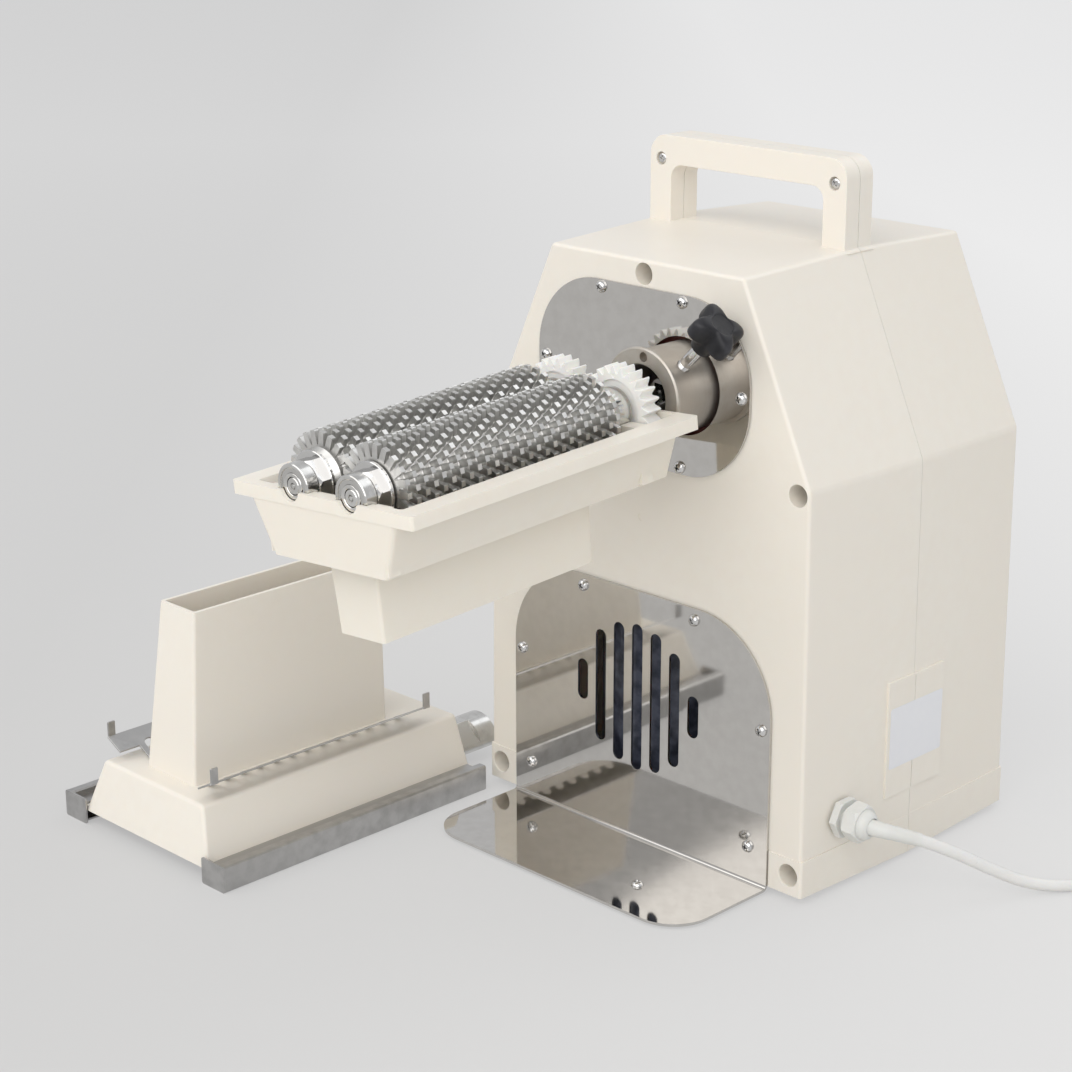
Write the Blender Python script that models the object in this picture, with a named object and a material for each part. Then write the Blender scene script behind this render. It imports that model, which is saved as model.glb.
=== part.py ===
"""Bench-top electric roller meat tenderiser with its feed hood standing beside it.

Sizes are named in millimetres and turned into metres where a mesh is made.
The drive stands at the right, the roller tray hangs out of its socket towards -Y,
and the hood, with its combs and side rails, stands on the floor to the left.
"""

import math

import bmesh
import bpy
from mathutils import Matrix, Vector

MM = 0.001
GAP = 0.3

# Housing: two plastic half shells that meet on the plane y = 0.
HALF_DEPTH = 106.1
BASE_HALF = 137.5
SHOULDER_HALF = BASE_HALF - 3.5
SHOULDER_Z = 260.5
TOP_HALF = 79.2
TOP_Z = 381.0
SEAM_GROW = 2.8
SEAM_RISE = 3.9
SEAM_DROP = 2.4
WALL = 3.2
STRIP_Z = 24.3
STRIP_PROUD = 0.8
EDGE_ROUND = 2.4
FLOOR_Z = -5.0

# Counterbores for the shell screws.
BOSS_R = 8.4
BORE_R = 6.8
BORE_DEPTH = 38.0
BORE_SHOULDER = (SHOULDER_HALF - 9.0, SHOULDER_Z - 3.0)
BORE_BASE = (BASE_HALF - 10.5, 12.9)
BORE_SPOTS = [
    (0.0, TOP_Z - 8.8), (-BORE_SHOULDER[0], BORE_SHOULDER[1]), BORE_SHOULDER,
    (-BORE_BASE[0], BORE_BASE[1]), BORE_BASE,
]

# Carrying handle, moulded in halves on the shells.
HANDLE_HALF = 80.5
HANDLE_TOP = 440.0
HANDLE_INNER = 62.5
HANDLE_BAR_Z = 421.5
HANDLE_HALF_DEPTH = 13.0
HANDLE_SCREW = (71.0, 424.5)

# Polished plates on the front.
PLATE_T = 1.8
PLATE_Y = -HALF_DEPTH - GAP - PLATE_T
UPPER_W = 176.0
UPPER_H = 112.0
UPPER_R = 50.0
SOCKET_X = 34.0
SOCKET_Z = 308.5
UPPER_HOLE_R = 30.5
UPPER_SCREWS = [
    (-33.4, 360.0), (33.4, 360.0), (81.4, 309.0), (33.6, 257.0), (-33.6, 257.0), (-81.4, 309.0),
]
LOWER_HALF = 110.9
LOWER_TOP = 168.5
LOWER_R = 60.0
LOWER_SCREWS = [(-47.8, 161.0), (47.8, 161.0), (104.0, 103.3), (95.7, 23.0), (-95.7, 23.0), (-104.0, 103.3)]
FOOT_FRONT = -HALF_DEPTH - 85.9
FOOT_R = 28.0
FOOT_SCREW = (50.0, -HALF_DEPTH - 53.9)
SLOT_W = 9.0
SLOT_PITCH = 16.0
SLOT_FIELD_R = 50.0
SLOT_Z = 96.0

# Gearbox, motor and drive line.
CASE_FRONT = -HALF_DEPTH + 6.6
CASE_BACK = CASE_FRONT + 77.5
WORM_X = -16.4
WHEEL_Y = CASE_FRONT + 49.5
WHEEL_R = 40.0
WHEEL_TEETH = 40
WORM_R = 9.2
MOTOR_R = 50.0
SOCKET_R = 27.5
SOCKET_LIP_R = 30.0
SOCKET_BORE = 19.4
SOCKET_FRONT = -HALF_DEPTH - 38.9
STUD_Y = -HALF_DEPTH - 22.4
STUD_R = 4.0
KNOB_R = 17.6

# Roller tray, in its own frame: origin where the driven axis meets the housing front.
TRAY_DROOP = math.radians(3.0)
TRAY_ROLL = math.radians(-4.2)
SPACING = 49.0
RIM_HALF = 76.0
RIM_TOP = -2.2
RIM_T = 8.0
TRAY_FRONT = -270.2
TRAY_BACK = -44.7
TRAY_FLOOR = -42.4
TRAY_FLOOR_HALF = 48.2
TRAY_WALL = 3.0
CHUTE_HALF = 18.7
CHUTE_TOP_HALF = 20.0
CHUTE_FRONT = -251.0
CHUTE_BACK = -84.6
CHUTE_BOTTOM = -89.3
BEARING_R = 13.0
BEARING_FRONT = -267.4
BEARING_T = 8.0
SHAFT_R = 5.0
CORE_R = 15.0
DISC_R = 26.6
DISC_ROOT = 19.0
DISC_TEETH = 16
DISC_COUNT = 26
DISC_T = 2.9
DISC_PITCH = 6.5
DISC_START = -242.6
GEAR_TEETH = 24
GEAR_TIP = 26.0
GEAR_ROOT = 21.6
GEAR_FRONT = -60.4
GEAR_T = 11.6
SPIGOT_R = SOCKET_BORE - 2.6
SPIGOT_IN = -14.0

# Feed hood on the floor, and what is clipped to it.
HOOD_X = -BASE_HALF - 77.1
HOOD_FRONT = -HALF_DEPTH - 238.3
HOOD_BACK = -HALF_DEPTH - 9.6
HOOD_BASE_Z = 4.2
HOOD_HALF = 65.7
HOOD_FLANGE_HALF = 76.0
HOOD_FLANGE_T = 3.0
HOOD_DECK_HALF = 52.9
HOOD_DECK_Z = 37.2
HOOD_DECK_FRONT = HOOD_FRONT + 8.2
HOOD_DECK_BACK = HOOD_BACK - 1.3
HOOD_WALL = 2.8
FUNNEL_TOP = 150.9
FUNNEL_TOP_HALF = 17.9
FUNNEL_TOP_FRONT = HOOD_FRONT + 34.3
FUNNEL_TOP_BACK = HOOD_BACK - 36.2
FUNNEL_FOOT_HALF = 25.4
FUNNEL_FOOT_FRONT = HOOD_FRONT + 22.8
FUNNEL_FOOT_BACK = HOOD_BACK - 40.7
HOOD_SPIGOT_X = 28.0
HOOD_SPIGOT_R = 18.6
HOOD_SPIGOT_LEN = 45.0
RAIL_IN = 66.8
RAIL_OUT = 85.6
RAIL_TOP = 13.0
RAIL_T = 1.2

COMB_FOOT_X = 30.5
COMB_SLOPE = math.radians(23.5)
COMB_WIDTH = 29.5
COMB_FRONT = HOOD_FRONT + 13.4
COMB_BACK = HOOD_BACK - 27.3
COMB_FINGERS = 13
COMB_FINGER_W = 4.6
COMB_GAP = 17.0
COMB_TAB = 13.0
COMB_T = 1.2
COMB_LIFT = 0.4

# Mains lead.
LEAD_Y = -70.0
LEAD_Z = 45.0
CORD_R = 3.9
COIL_X = BASE_HALF + 180.5
COIL_Y = 84.0
COIL_R = 43.0

SEGS = 24


def clear_scene():
    """Remove the objects the file opens with."""
    for item in list(bpy.data.objects):
        bpy.data.objects.remove(item, do_unlink=True)


clear_scene()

PARTS = bpy.data.collections.new("Roller_Meat_Tenderiser")
CUTTERS = bpy.data.collections.new("Cutters")
bpy.context.scene.collection.children.link(PARTS)
bpy.context.scene.collection.children.link(CUTTERS)

ROOT = bpy.data.objects.new("Root", None)
TRAY_FRAME = bpy.data.objects.new("Tray_Frame", None)
for empty in (ROOT, TRAY_FRAME):
    PARTS.objects.link(empty)
TRAY_FRAME.parent = ROOT
TRAY_FRAME.matrix_local = (
    Matrix.Translation(Vector((SOCKET_X, -HALF_DEPTH, SOCKET_Z)) * MM)
    @ Matrix.Rotation(TRAY_DROOP, 4, "X")
    @ Matrix.Rotation(TRAY_ROLL, 4, "Y")
)


def material(name, colour, metallic, roughness):
    """One Principled material per sub-part."""
    made = bpy.data.materials.new(name)
    made.use_nodes = True
    shader = made.node_tree.nodes["Principled BSDF"]
    shader.inputs["Base Color"].default_value = (*colour, 1.0)
    shader.inputs["Metallic"].default_value = metallic
    shader.inputs["Roughness"].default_value = roughness
    return made


CREAM = ((0.86, 0.82, 0.72), 0.0, 0.42)
MIRROR = ((0.80, 0.79, 0.77), 1.0, 0.06)
STEEL = ((0.62, 0.61, 0.59), 1.0, 0.28)
ZINC = ((0.55, 0.54, 0.52), 1.0, 0.34)
WHITE = ((0.92, 0.92, 0.90), 0.0, 0.45)
BLACK = ((0.02, 0.02, 0.022), 0.0, 0.5)
RUBBER = ((0.03, 0.03, 0.03), 0.0, 0.8)
GREY = ((0.62, 0.64, 0.63), 0.0, 0.5)
BLUE = ((0.03, 0.05, 0.16), 0.0, 0.45)
OXIDE = ((0.16, 0.02, 0.02), 0.0, 0.55)
BRONZE = ((0.55, 0.36, 0.14), 1.0, 0.35)


def shade(mesh, angle=35.0):
    mesh.polygons.foreach_set("use_smooth", [True] * len(mesh.polygons))
    mesh.set_sharp_from_angle(angle=math.radians(angle))


def place(name, bm, look=None, parent=None, origin=(0.0, 0.0, 0.0)):
    """Turn a mesh drawn in millimetres into an object whose origin is at the given point."""
    bmesh.ops.remove_doubles(bm, verts=bm.verts[:], dist=0.0005)
    bmesh.ops.recalc_face_normals(bm, faces=bm.faces[:])
    bmesh.ops.translate(bm, verts=bm.verts[:], vec=-Vector(origin))
    bmesh.ops.scale(bm, verts=bm.verts[:], vec=(MM, MM, MM))
    mesh = bpy.data.meshes.new(name)
    bm.to_mesh(mesh)
    bm.free()
    shade(mesh)
    made = bpy.data.objects.new(name, mesh)
    made.location = Vector(origin) * MM
    made.parent = parent or ROOT
    if look is None:
        CUTTERS.objects.link(made)
        made.hide_render = True
        made.display_type = "WIRE"
    else:
        PARTS.objects.link(made)
        mesh.materials.append(material(name + "_Material", *look))
    return made


def boolean(target, other, operation="DIFFERENCE"):
    step = target.modifiers.new(other.name, "BOOLEAN")
    step.operation = operation
    step.solver = "EXACT"
    step.object = other
    return step


def plate_points(points, plane):
    """3-D points of a flat outline on a plane named by its fixed axis."""
    axis, value = plane
    order = {"X": (0, 1, 2), "Y": (1, 0, 2), "Z": (2, 0, 1)}[axis]
    made = []
    for u, v in points:
        point = [0.0, 0.0, 0.0]
        point[order[0]] = value
        point[order[1]] = u
        point[order[2]] = v
        made.append(point)
    return made


def loft(bm, first, second):
    """A closed solid between two rings of points in the same order."""
    ring_a = [bm.verts.new(point) for point in first]
    ring_b = [bm.verts.new(point) for point in second]
    bm.faces.new(ring_a)
    bm.faces.new(ring_b)
    count = len(ring_a)
    for index in range(count):
        after = (index + 1) % count
        bm.faces.new((ring_a[index], ring_a[after], ring_b[after], ring_b[index]))
    return ring_a, ring_b


def prism(bm, points, axis, low, high):
    """A flat outline carried along one axis."""
    return loft(bm, plate_points(points, (axis, low)), plate_points(points, (axis, high)))


def arc(centre, radius, start, end, steps):
    made = []
    for index in range(steps + 1):
        angle = math.radians(start + (end - start) * index / steps)
        made.append((centre[0] + radius * math.cos(angle), centre[1] + radius * math.sin(angle)))
    return made


def circle(centre, radius, steps=SEGS, turn=0.0):
    return arc(centre, radius, turn, turn + 360.0 * (steps - 1) / steps, steps - 1)


def rounded_box(centre, width, height, radius, steps=4):
    half_w = width / 2 - radius
    half_h = height / 2 - radius
    made = []
    for index, (sx, sz) in enumerate(((1, 1), (-1, 1), (-1, -1), (1, -1))):
        corner = (centre[0] + sx * half_w, centre[1] + sz * half_h)
        made += arc(corner, radius, 90 * index, 90 * index + 90, steps)
    return made


def box(bm, low, high):
    bmesh.ops.create_cube(
        bm,
        size=1.0,
        matrix=Matrix.Translation((Vector(low) + Vector(high)) / 2)
        @ Matrix.Diagonal((*(Vector(high) - Vector(low)), 1.0)),
    )


def lathe(bm, profile, centre, direction=(0.0, 1.0, 0.0), steps=SEGS):
    """Spin (radius, height) points round an axis through centre; both ends close on the axis."""
    axis = Vector(direction).normalized()
    side = axis.orthogonal().normalized()
    base = Vector(centre)
    verts = [bm.verts.new(base + side * radius + axis * height) for radius, height in profile]
    edges = [bm.edges.new(pair) for pair in zip(verts, verts[1:])]
    bmesh.ops.spin(
        bm, geom=verts + edges, cent=base, axis=axis, dvec=(0, 0, 0), angle=2 * math.pi, steps=steps
    )
    bmesh.ops.remove_doubles(bm, verts=bm.verts[:], dist=0.0005)
    bmesh.ops.dissolve_degenerate(bm, dist=0.0005, edges=bm.edges[:])


def tube_profile(inner, outer, low, high):
    """Closed ring profile for a tube: the spin joins its first and last point."""
    return [(inner, low), (outer, low), (outer, high), (inner, high), (inner, low)]


def soften(bm, edges, width, segments=2):
    bmesh.ops.bevel(
        bm, geom=edges, offset=width, segments=segments, profile=0.5, affect="EDGES", clamp_overlap=True
    )


def star_points(teeth, tip, root, flat=0.0, turn=0.0):
    """Outline of a toothed wheel: a tip and a root for each tooth, the tip widened by flat."""
    made = []
    step = 2 * math.pi / teeth
    for index in range(teeth):
        angle = turn + index * step
        if flat:
            made.append((tip * math.cos(angle - flat), tip * math.sin(angle - flat)))
            made.append((tip * math.cos(angle + flat), tip * math.sin(angle + flat)))
            made.append((root * math.cos(angle + step / 2 - flat), root * math.sin(angle + step / 2 - flat)))
            made.append((root * math.cos(angle + step / 2 + flat), root * math.sin(angle + step / 2 + flat)))
        else:
            made.append((tip * math.cos(angle), tip * math.sin(angle)))
            made.append((root * math.cos(angle + step / 2), root * math.sin(angle + step / 2)))
    return made


# ---------------------------------------------------------------- housing


def shell_ring(y_at, side, inset=0.0):
    """Outline of the housing at one depth, from 0 at the seam to 1 at the front or back face."""
    grow = SEAM_GROW * (1.0 - side)
    rise = SEAM_RISE * (1.0 - side)
    drop = SEAM_DROP * (1.0 - side)
    base = BASE_HALF - STRIP_PROUD + grow - inset
    shoulder = SHOULDER_HALF + grow - inset
    top = TOP_HALF + grow - inset * 0.6
    outline = [
        (-base, -drop + inset),
        (base, -drop + inset),
        (shoulder, SHOULDER_Z),
        (top, TOP_Z + rise - inset),
        (-top, TOP_Z + rise - inset),
        (-shoulder, SHOULDER_Z),
    ]
    return plate_points(outline, ("Y", y_at))


def shell_body(name, sign):
    """Outer solid of one half shell, its front or back edges rounded."""
    bm = bmesh.new()
    outer, _ = loft(bm, shell_ring(sign * HALF_DEPTH, 1.0), shell_ring(sign * GAP / 2, 0.0))
    seam = sign * GAP / 2
    edges = [e for e in bm.edges if not all(abs(v.co.y - seam) < 0.01 for v in e.verts)]
    soften(bm, edges, EDGE_ROUND)
    return place(name, bm, CREAM)


def strip_tool(name, sign):
    """The proud base strip, which runs out to flush at the seam."""
    bm = bmesh.new()
    front = BASE_HALF
    seam = BASE_HALF + 1.9
    first = [(-front, 0.1), (front, 0.1), (front, STRIP_Z), (-front, STRIP_Z)]
    second = [(-seam, -SEAM_DROP), (seam, -SEAM_DROP), (seam, STRIP_Z), (-seam, STRIP_Z)]
    loft(
        bm,
        plate_points(first, ("Y", sign * (HALF_DEPTH + STRIP_PROUD * 0.8))),
        plate_points(second, ("Y", sign * (GAP / 2 + 0.05))),
    )
    edges = [
        e for e in bm.edges if all(abs(v.co.y) > HALF_DEPTH and abs(v.co.x) > 100 for v in e.verts)
        and abs(e.verts[0].co.z - e.verts[1].co.z) > 1
    ]
    soften(bm, edges, 2.0)
    return place(name, bm)


def hollow_tool(name, sign):
    bm = bmesh.new()
    loft(bm, shell_ring(sign * (HALF_DEPTH - WALL), 1.0, WALL), shell_ring(-sign * 2.0, 0.0, WALL))
    return place(name, bm)


def boss_tool(name, radius, low, high):
    bm = bmesh.new()
    for x, z in BORE_SPOTS:
        prism(bm, circle((x, z), radius, 16), "Y", low, high)
    return place(name, bm)


def handle_tool(name, low, high):
    """Half of the U-shaped carrying handle, its outer front or back edges rounded."""
    foot = TOP_Z + 1.2
    outline = [(-HANDLE_HALF, foot)]
    outline += arc((-HANDLE_HALF + 13, HANDLE_TOP - 13), 13, 180, 90, 4)
    outline += arc((HANDLE_HALF - 13, HANDLE_TOP - 13), 13, 90, 0, 4)
    outline += [(HANDLE_HALF, foot), (HANDLE_INNER, foot)]
    outline += arc((HANDLE_INNER - 9, HANDLE_BAR_Z - 9), 9, 0, 90, 3)
    outline += arc((-HANDLE_INNER + 9, HANDLE_BAR_Z - 9), 9, 90, 180, 3)
    outline += [(-HANDLE_INNER, foot)]
    bm = bmesh.new()
    prism(bm, outline, "Y", low, high)
    outside = low if abs(low) > abs(high) else high
    edges = [
        e for e in bm.edges
        if all(abs(v.co.y - outside) < 0.01 for v in e.verts) and max(v.co.z for v in e.verts) > foot + 0.1
    ]
    soften(bm, edges, 2.6)
    return place(name, bm)


def front_shell():
    body = shell_body("Front_Shell", -1)
    boolean(body, strip_tool("Front_Strip", -1), "UNION")
    boolean(body, hollow_tool("Front_Hollow", -1))
    boolean(body, handle_tool("Front_Handle_Half", -HANDLE_HALF_DEPTH, -GAP / 2 - 0.08), "UNION")
    boolean(body, boss_tool("Front_Bosses", BOSS_R, -HALF_DEPTH + 0.9, -HALF_DEPTH + BORE_DEPTH + 4), "UNION")
    bm = bmesh.new()
    # Notch that lets the foot plate through the base strip.
    box(bm, (-LOWER_HALF - 0.6, -HALF_DEPTH - 6, -2), (LOWER_HALF + 0.6, -HALF_DEPTH - 0.01, STRIP_Z + 2))
    boolean(body, place("Front_Notch", bm))
    bm = bmesh.new()
    for x, z in BORE_SPOTS:
        prism(bm, circle((x, z), BORE_R, 16), "Y", -HALF_DEPTH - 4, -HALF_DEPTH + BORE_DEPTH)
    # Window for the drive socket, and the vent window behind the lower plate.
    prism(bm, circle((SOCKET_X, SOCKET_Z), 35.5, 20), "Y", -HALF_DEPTH - 4, -HALF_DEPTH + 8)
    prism(bm, rounded_box((0, SLOT_Z), 112, 108, 30), "Y", -HALF_DEPTH - 4, -HALF_DEPTH + 8)
    for x, z in UPPER_SCREWS + LOWER_SCREWS:
        prism(bm, circle((x, z), 2.1, 8), "Y", -HALF_DEPTH - 4, -HALF_DEPTH + 8)
    for side in (-1, 1):
        centre = (side * HANDLE_SCREW[0], -HANDLE_HALF_DEPTH, HANDLE_SCREW[1])
        lathe(bm, [(0, -4), (4.3, -4), (4.3, 2.2), (2.1, 2.2), (2.1, 20), (0, 20)], centre, (0, 1, 0), 12)
    bore = circle((LEAD_Y, LEAD_Z), 8.3, 16)
    prism(bm, bore, "X", BASE_HALF - 12, BASE_HALF + 8)
    boolean(body, place("Front_Cuts", bm))
    boolean(body, pad_tool("Front_Pad", -27.0, -GAP / 2 - 0.1), "UNION")


def pad_tool(name, low, high):
    """Raised rectangle on the right wall that carries the rating label."""
    bm = bmesh.new()
    box(bm, (BASE_HALF - 2.6, low, 43.0), (BASE_HALF + 2.2, high, 121.0))
    return place(name, bm)


def rear_shell():
    body = shell_body("Rear_Shell", 1)
    boolean(body, strip_tool("Rear_Strip", 1), "UNION")
    boolean(body, hollow_tool("Rear_Hollow", 1))
    boolean(body, handle_tool("Rear_Handle_Half", GAP / 2 + 0.08, HANDLE_HALF_DEPTH), "UNION")
    bm = bmesh.new()
    # Cooling louvres in the back wall and the seat of the rocker switch in the left wall.
    for row in range(6):
        prism(bm, rounded_box((0, 70 + row * 14), 96, 5, 2.4, 2), "Y", HALF_DEPTH - 8, HALF_DEPTH + 4)
    box(bm, (-BASE_HALF - 6, 49.0, 71.0), (-BASE_HALF + 12, 71.0, 101.0))
    for side in (-1, 1):
        spot = (side * HANDLE_SCREW[0], HANDLE_SCREW[1])
        prism(bm, circle(spot, 2.1, 10), "Y", -4, 9)
    boolean(body, place("Rear_Cuts", bm))
    boolean(body, pad_tool("Rear_Pad", GAP / 2 + 0.1, 30.5), "UNION")


def feet():
    for index, (x, y) in enumerate(((-110, -78), (110, -78), (110, 82), (-110, 82))):
        bm = bmesh.new()
        top = -GAP - 1.0
        lathe(
            bm, [(0, FLOOR_Z), (10, FLOOR_Z), (12, FLOOR_Z + 1.5), (12, top), (0, top)], (x, y, 0),
            (0, 0, 1), 20,
        )
        place("Foot_%d" % (index + 1), bm, RUBBER)


def screw(name, head, shank, length, at, direction, look=STEEL, parent=None, height=3.0, steps=12):
    """Pan-head screw whose head bears on the surface at the given point."""
    bm = bmesh.new()
    profile = [
        (0, height),
        (head * 0.62, height * 0.86),
        (head, height * 0.3),
        (head, 0.0),
        (shank, 0.0),
        (shank, -length),
        (0, -length),
    ]
    lathe(bm, profile, at, direction, steps)
    return place(name, bm, look, parent, at)


def upper_plate():
    bm = bmesh.new()
    prism(bm, rounded_box((0, SOCKET_Z), UPPER_W, UPPER_H, UPPER_R, 8), "Y", PLATE_Y, PLATE_Y + PLATE_T)
    plate = place("Upper_Plate", bm, MIRROR)
    bm = bmesh.new()
    prism(bm, circle((SOCKET_X, SOCKET_Z), UPPER_HOLE_R, 40), "Y", PLATE_Y - 2, PLATE_Y + 4)
    for x, z in UPPER_SCREWS:
        prism(bm, circle((x, z), 2.1, 10), "Y", PLATE_Y - 2, PLATE_Y + 4)
    boolean(plate, place("Upper_Plate_Holes", bm))
    for index, (x, z) in enumerate(UPPER_SCREWS):
        screw("Upper_Screw_%d" % (index + 1), 4.0, 1.8, 8.0, (x, PLATE_Y - GAP, z), (0, -1, 0))


def lower_plate():
    """L-shaped plate: the upright screwed to the front, the foot lying just above the floor."""
    bm = bmesh.new()
    foot_z = -3.2
    upright = [(-LOWER_HALF, foot_z), (LOWER_HALF, foot_z)]
    upright += arc((LOWER_HALF - LOWER_R, LOWER_TOP - LOWER_R), LOWER_R, 0, 90, 8)
    upright += arc((-LOWER_HALF + LOWER_R, LOWER_TOP - LOWER_R), LOWER_R, 90, 180, 8)
    prism(bm, upright, "Y", PLATE_Y, PLATE_Y + PLATE_T)
    plate = place("Lower_Plate", bm, MIRROR)
    bm = bmesh.new()
    foot = [(-LOWER_HALF, PLATE_Y + PLATE_T), (-LOWER_HALF, FOOT_FRONT + FOOT_R)]
    foot += arc((-LOWER_HALF + FOOT_R, FOOT_FRONT + FOOT_R), FOOT_R, 180, 270, 5)
    foot += arc((LOWER_HALF - FOOT_R, FOOT_FRONT + FOOT_R), FOOT_R, 270, 360, 5)
    foot += [(LOWER_HALF, PLATE_Y + PLATE_T)]
    prism(bm, foot, "Z", foot_z, foot_z + PLATE_T)
    boolean(plate, place("Lower_Plate_Foot", bm), "UNION")
    bm = bmesh.new()
    for index in range(-3, 4):
        x = index * SLOT_PITCH
        half = math.sqrt(SLOT_FIELD_R ** 2 - x ** 2)
        prism(
            bm, rounded_box((x, SLOT_Z), SLOT_W, 2 * half, SLOT_W / 2 - 0.01, 4), "Y", PLATE_Y - 2,
            PLATE_Y + 4,
        )
    for x, z in LOWER_SCREWS:
        prism(bm, circle((x, z), 2.1, 10), "Y", PLATE_Y - 2, PLATE_Y + 4)
    prism(bm, circle(FOOT_SCREW, 2.1, 10), "Z", foot_z - 2, foot_z + 4)
    boolean(plate, place("Lower_Plate_Holes", bm))
    for index, (x, z) in enumerate(LOWER_SCREWS):
        screw("Lower_Screw_%d" % (index + 1), 4.0, 1.8, 8.0, (x, PLATE_Y - GAP, z), (0, -1, 0))
    x, y = FOOT_SCREW
    screw("Pad_Screw", 4.0, 1.8, 2.6, (x, y, foot_z + PLATE_T + GAP), (0, 0, 1), height=2.6)
    bm = bmesh.new()
    lathe(bm, tube_profile(2.1, 14.0, FLOOR_Z, foot_z - GAP), (x, y, 0), (0, 0, 1), 20)
    place("Plate_Pad", bm, RUBBER)


# ---------------------------------------------------------------- drive line


def gearbox():
    """Cast case open at the back, closed by a cover plate; the socket stands on its front."""
    bm = bmesh.new()
    prism(bm, rounded_box((9.0, 301.5), 152.0, 119.0, 18.0, 3), "Y", CASE_FRONT, CASE_BACK)
    case = place("Gearbox_Case", bm, OXIDE)
    bm = bmesh.new()
    prism(bm, rounded_box((9.0, 301.5), 140.0, 107.0, 13.0, 3), "Y", CASE_FRONT + 7, CASE_BACK + 3)
    boolean(case, place("Gearbox_Hollow", bm))
    bm = bmesh.new()
    prism(bm, circle((SOCKET_X, SOCKET_Z), 10.3, 20), "Y", CASE_FRONT - 3, CASE_FRONT + 9)
    prism(bm, circle((WORM_X, WHEEL_Y), 11.0, 20), "Z", 238.0, 256.0)
    boolean(case, place("Gearbox_Bores", bm))
    bm = bmesh.new()
    prism(bm, rounded_box((9.0, 301.5), 152.0, 119.0, 18.0, 3), "Y", CASE_BACK + GAP, CASE_BACK + 6.0)
    place("Gearbox_Cover", bm, OXIDE)
    bm = bmesh.new()
    gear = star_points(WHEEL_TEETH, WHEEL_R, WHEEL_R - 3.6)
    ring = [(SOCKET_X + u, SOCKET_Z + v) for u, v in gear]
    prism(bm, ring, "Y", WHEEL_Y - 7.0, WHEEL_Y + 7.0)
    wheel = place("Reduction_Wheel", bm, BRONZE, None, (SOCKET_X, WHEEL_Y, SOCKET_Z))
    bm = bmesh.new()
    prism(bm, circle((SOCKET_X, SOCKET_Z), 9.3, 20), "Y", WHEEL_Y - 12.0, WHEEL_Y + 12.0)
    boolean(wheel, place("Reduction_Wheel_Bore", bm))
    bm = bmesh.new()
    nose = -HALF_DEPTH - 21.9
    shaft = [
        (0, nose), (8.0, nose), (8.6, nose + 1.0), (9.0, CASE_FRONT - 0.5), (9.0, CASE_BACK - 1.0),
        (0, CASE_BACK - 1.0),
    ]
    lathe(bm, shaft, (SOCKET_X, 0.0, SOCKET_Z), (0, 1, 0), 20)
    output = place("Output_Shaft", bm, STEEL, None, (SOCKET_X, WHEEL_Y, SOCKET_Z))
    bm = bmesh.new()
    square = [(SOCKET_X + u, SOCKET_Z + v) for u, v in circle((0.0, 0.0), 6.6, 4, 40.0)]
    prism(bm, square, "Y", nose - 4.0, nose + 16.0)
    boolean(output, place("Output_Square", bm))


def socket():
    bm = bmesh.new()
    profile = [
        (SOCKET_BORE, SOCKET_FRONT),
        (SOCKET_LIP_R - 0.8, SOCKET_FRONT),
        (SOCKET_LIP_R, SOCKET_FRONT + 0.8),
        (SOCKET_LIP_R, SOCKET_FRONT + 2.6),
        (SOCKET_R, SOCKET_FRONT + 3.4),
        (SOCKET_R, CASE_FRONT - GAP),
        (SOCKET_BORE, CASE_FRONT - GAP),
        (SOCKET_BORE, SOCKET_FRONT),
    ]
    lathe(bm, profile, (SOCKET_X, 0.0, SOCKET_Z), (0, 1, 0), 40)
    body = place("Drive_Socket", bm, ZINC)
    bm = bmesh.new()
    lathe(
        bm, [(0, -8), (3.0, -8), (3.0, 6), (0, 6)], (SOCKET_X + 2.0, SOCKET_FRONT, SOCKET_Z + 24.6),
        (0, 1, 0), 14,
    )
    lathe(
        bm, [(0, 14), (STUD_R + GAP, 14), (STUD_R + GAP, 36), (0, 36)],
        (SOCKET_X, STUD_Y, SOCKET_Z), (1, 0, 1), 14,
    )
    boolean(body, place("Drive_Socket_Holes", bm))


def clamp_screw():
    """Stud through the socket wall at 45 degrees with a four-lobed palm grip."""
    centre = (SOCKET_X, STUD_Y, SOCKET_Z)
    bm = bmesh.new()
    lathe(
        bm,
        [(0, SOCKET_BORE + 0.4), (3.2, SOCKET_BORE + 0.4), (STUD_R, SOCKET_BORE + 1.4), (STUD_R, 45.4), (0, 45.4)],
        centre, (1, 0, 1), 16,
    )
    place("Clamp_Stud", bm, MIRROR, None, centre)
    bm = bmesh.new()
    axis = Vector((1, 0, 1)).normalized()
    side = Vector((0, 1, 0))
    across = axis.cross(side)
    rings = []
    for height, size, lobe in (
        (45.8, 6.6, 0.0), (47.0, 7.0, 0.0), (54.0, 10.5, 0.0), (57.0, KNOB_R - 5.2, 3.4),
        (59.0, KNOB_R - 3.6, 4.0), (66.0, KNOB_R - 3.6, 4.0), (69.0, KNOB_R - 5.6, 3.4), (70.0, 8.0, 1.0),
    ):
        ring = []
        for index in range(32):
            angle = 2 * math.pi * index / 32
            radius = size + lobe * math.cos(4 * angle)
            spoke = side * math.cos(angle) + across * math.sin(angle)
            point = Vector(centre) + axis * height + spoke * radius
            ring.append(bm.verts.new(point))
        rings.append(ring)
    for low, high in zip(rings, rings[1:]):
        for index in range(32):
            after = (index + 1) % 32
            bm.faces.new((low[index], low[after], high[after], high[index]))
    bm.faces.new(rings[0])
    bm.faces.new(rings[-1])
    place("Clamp_Knob", bm, BLACK, None, centre)


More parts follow.
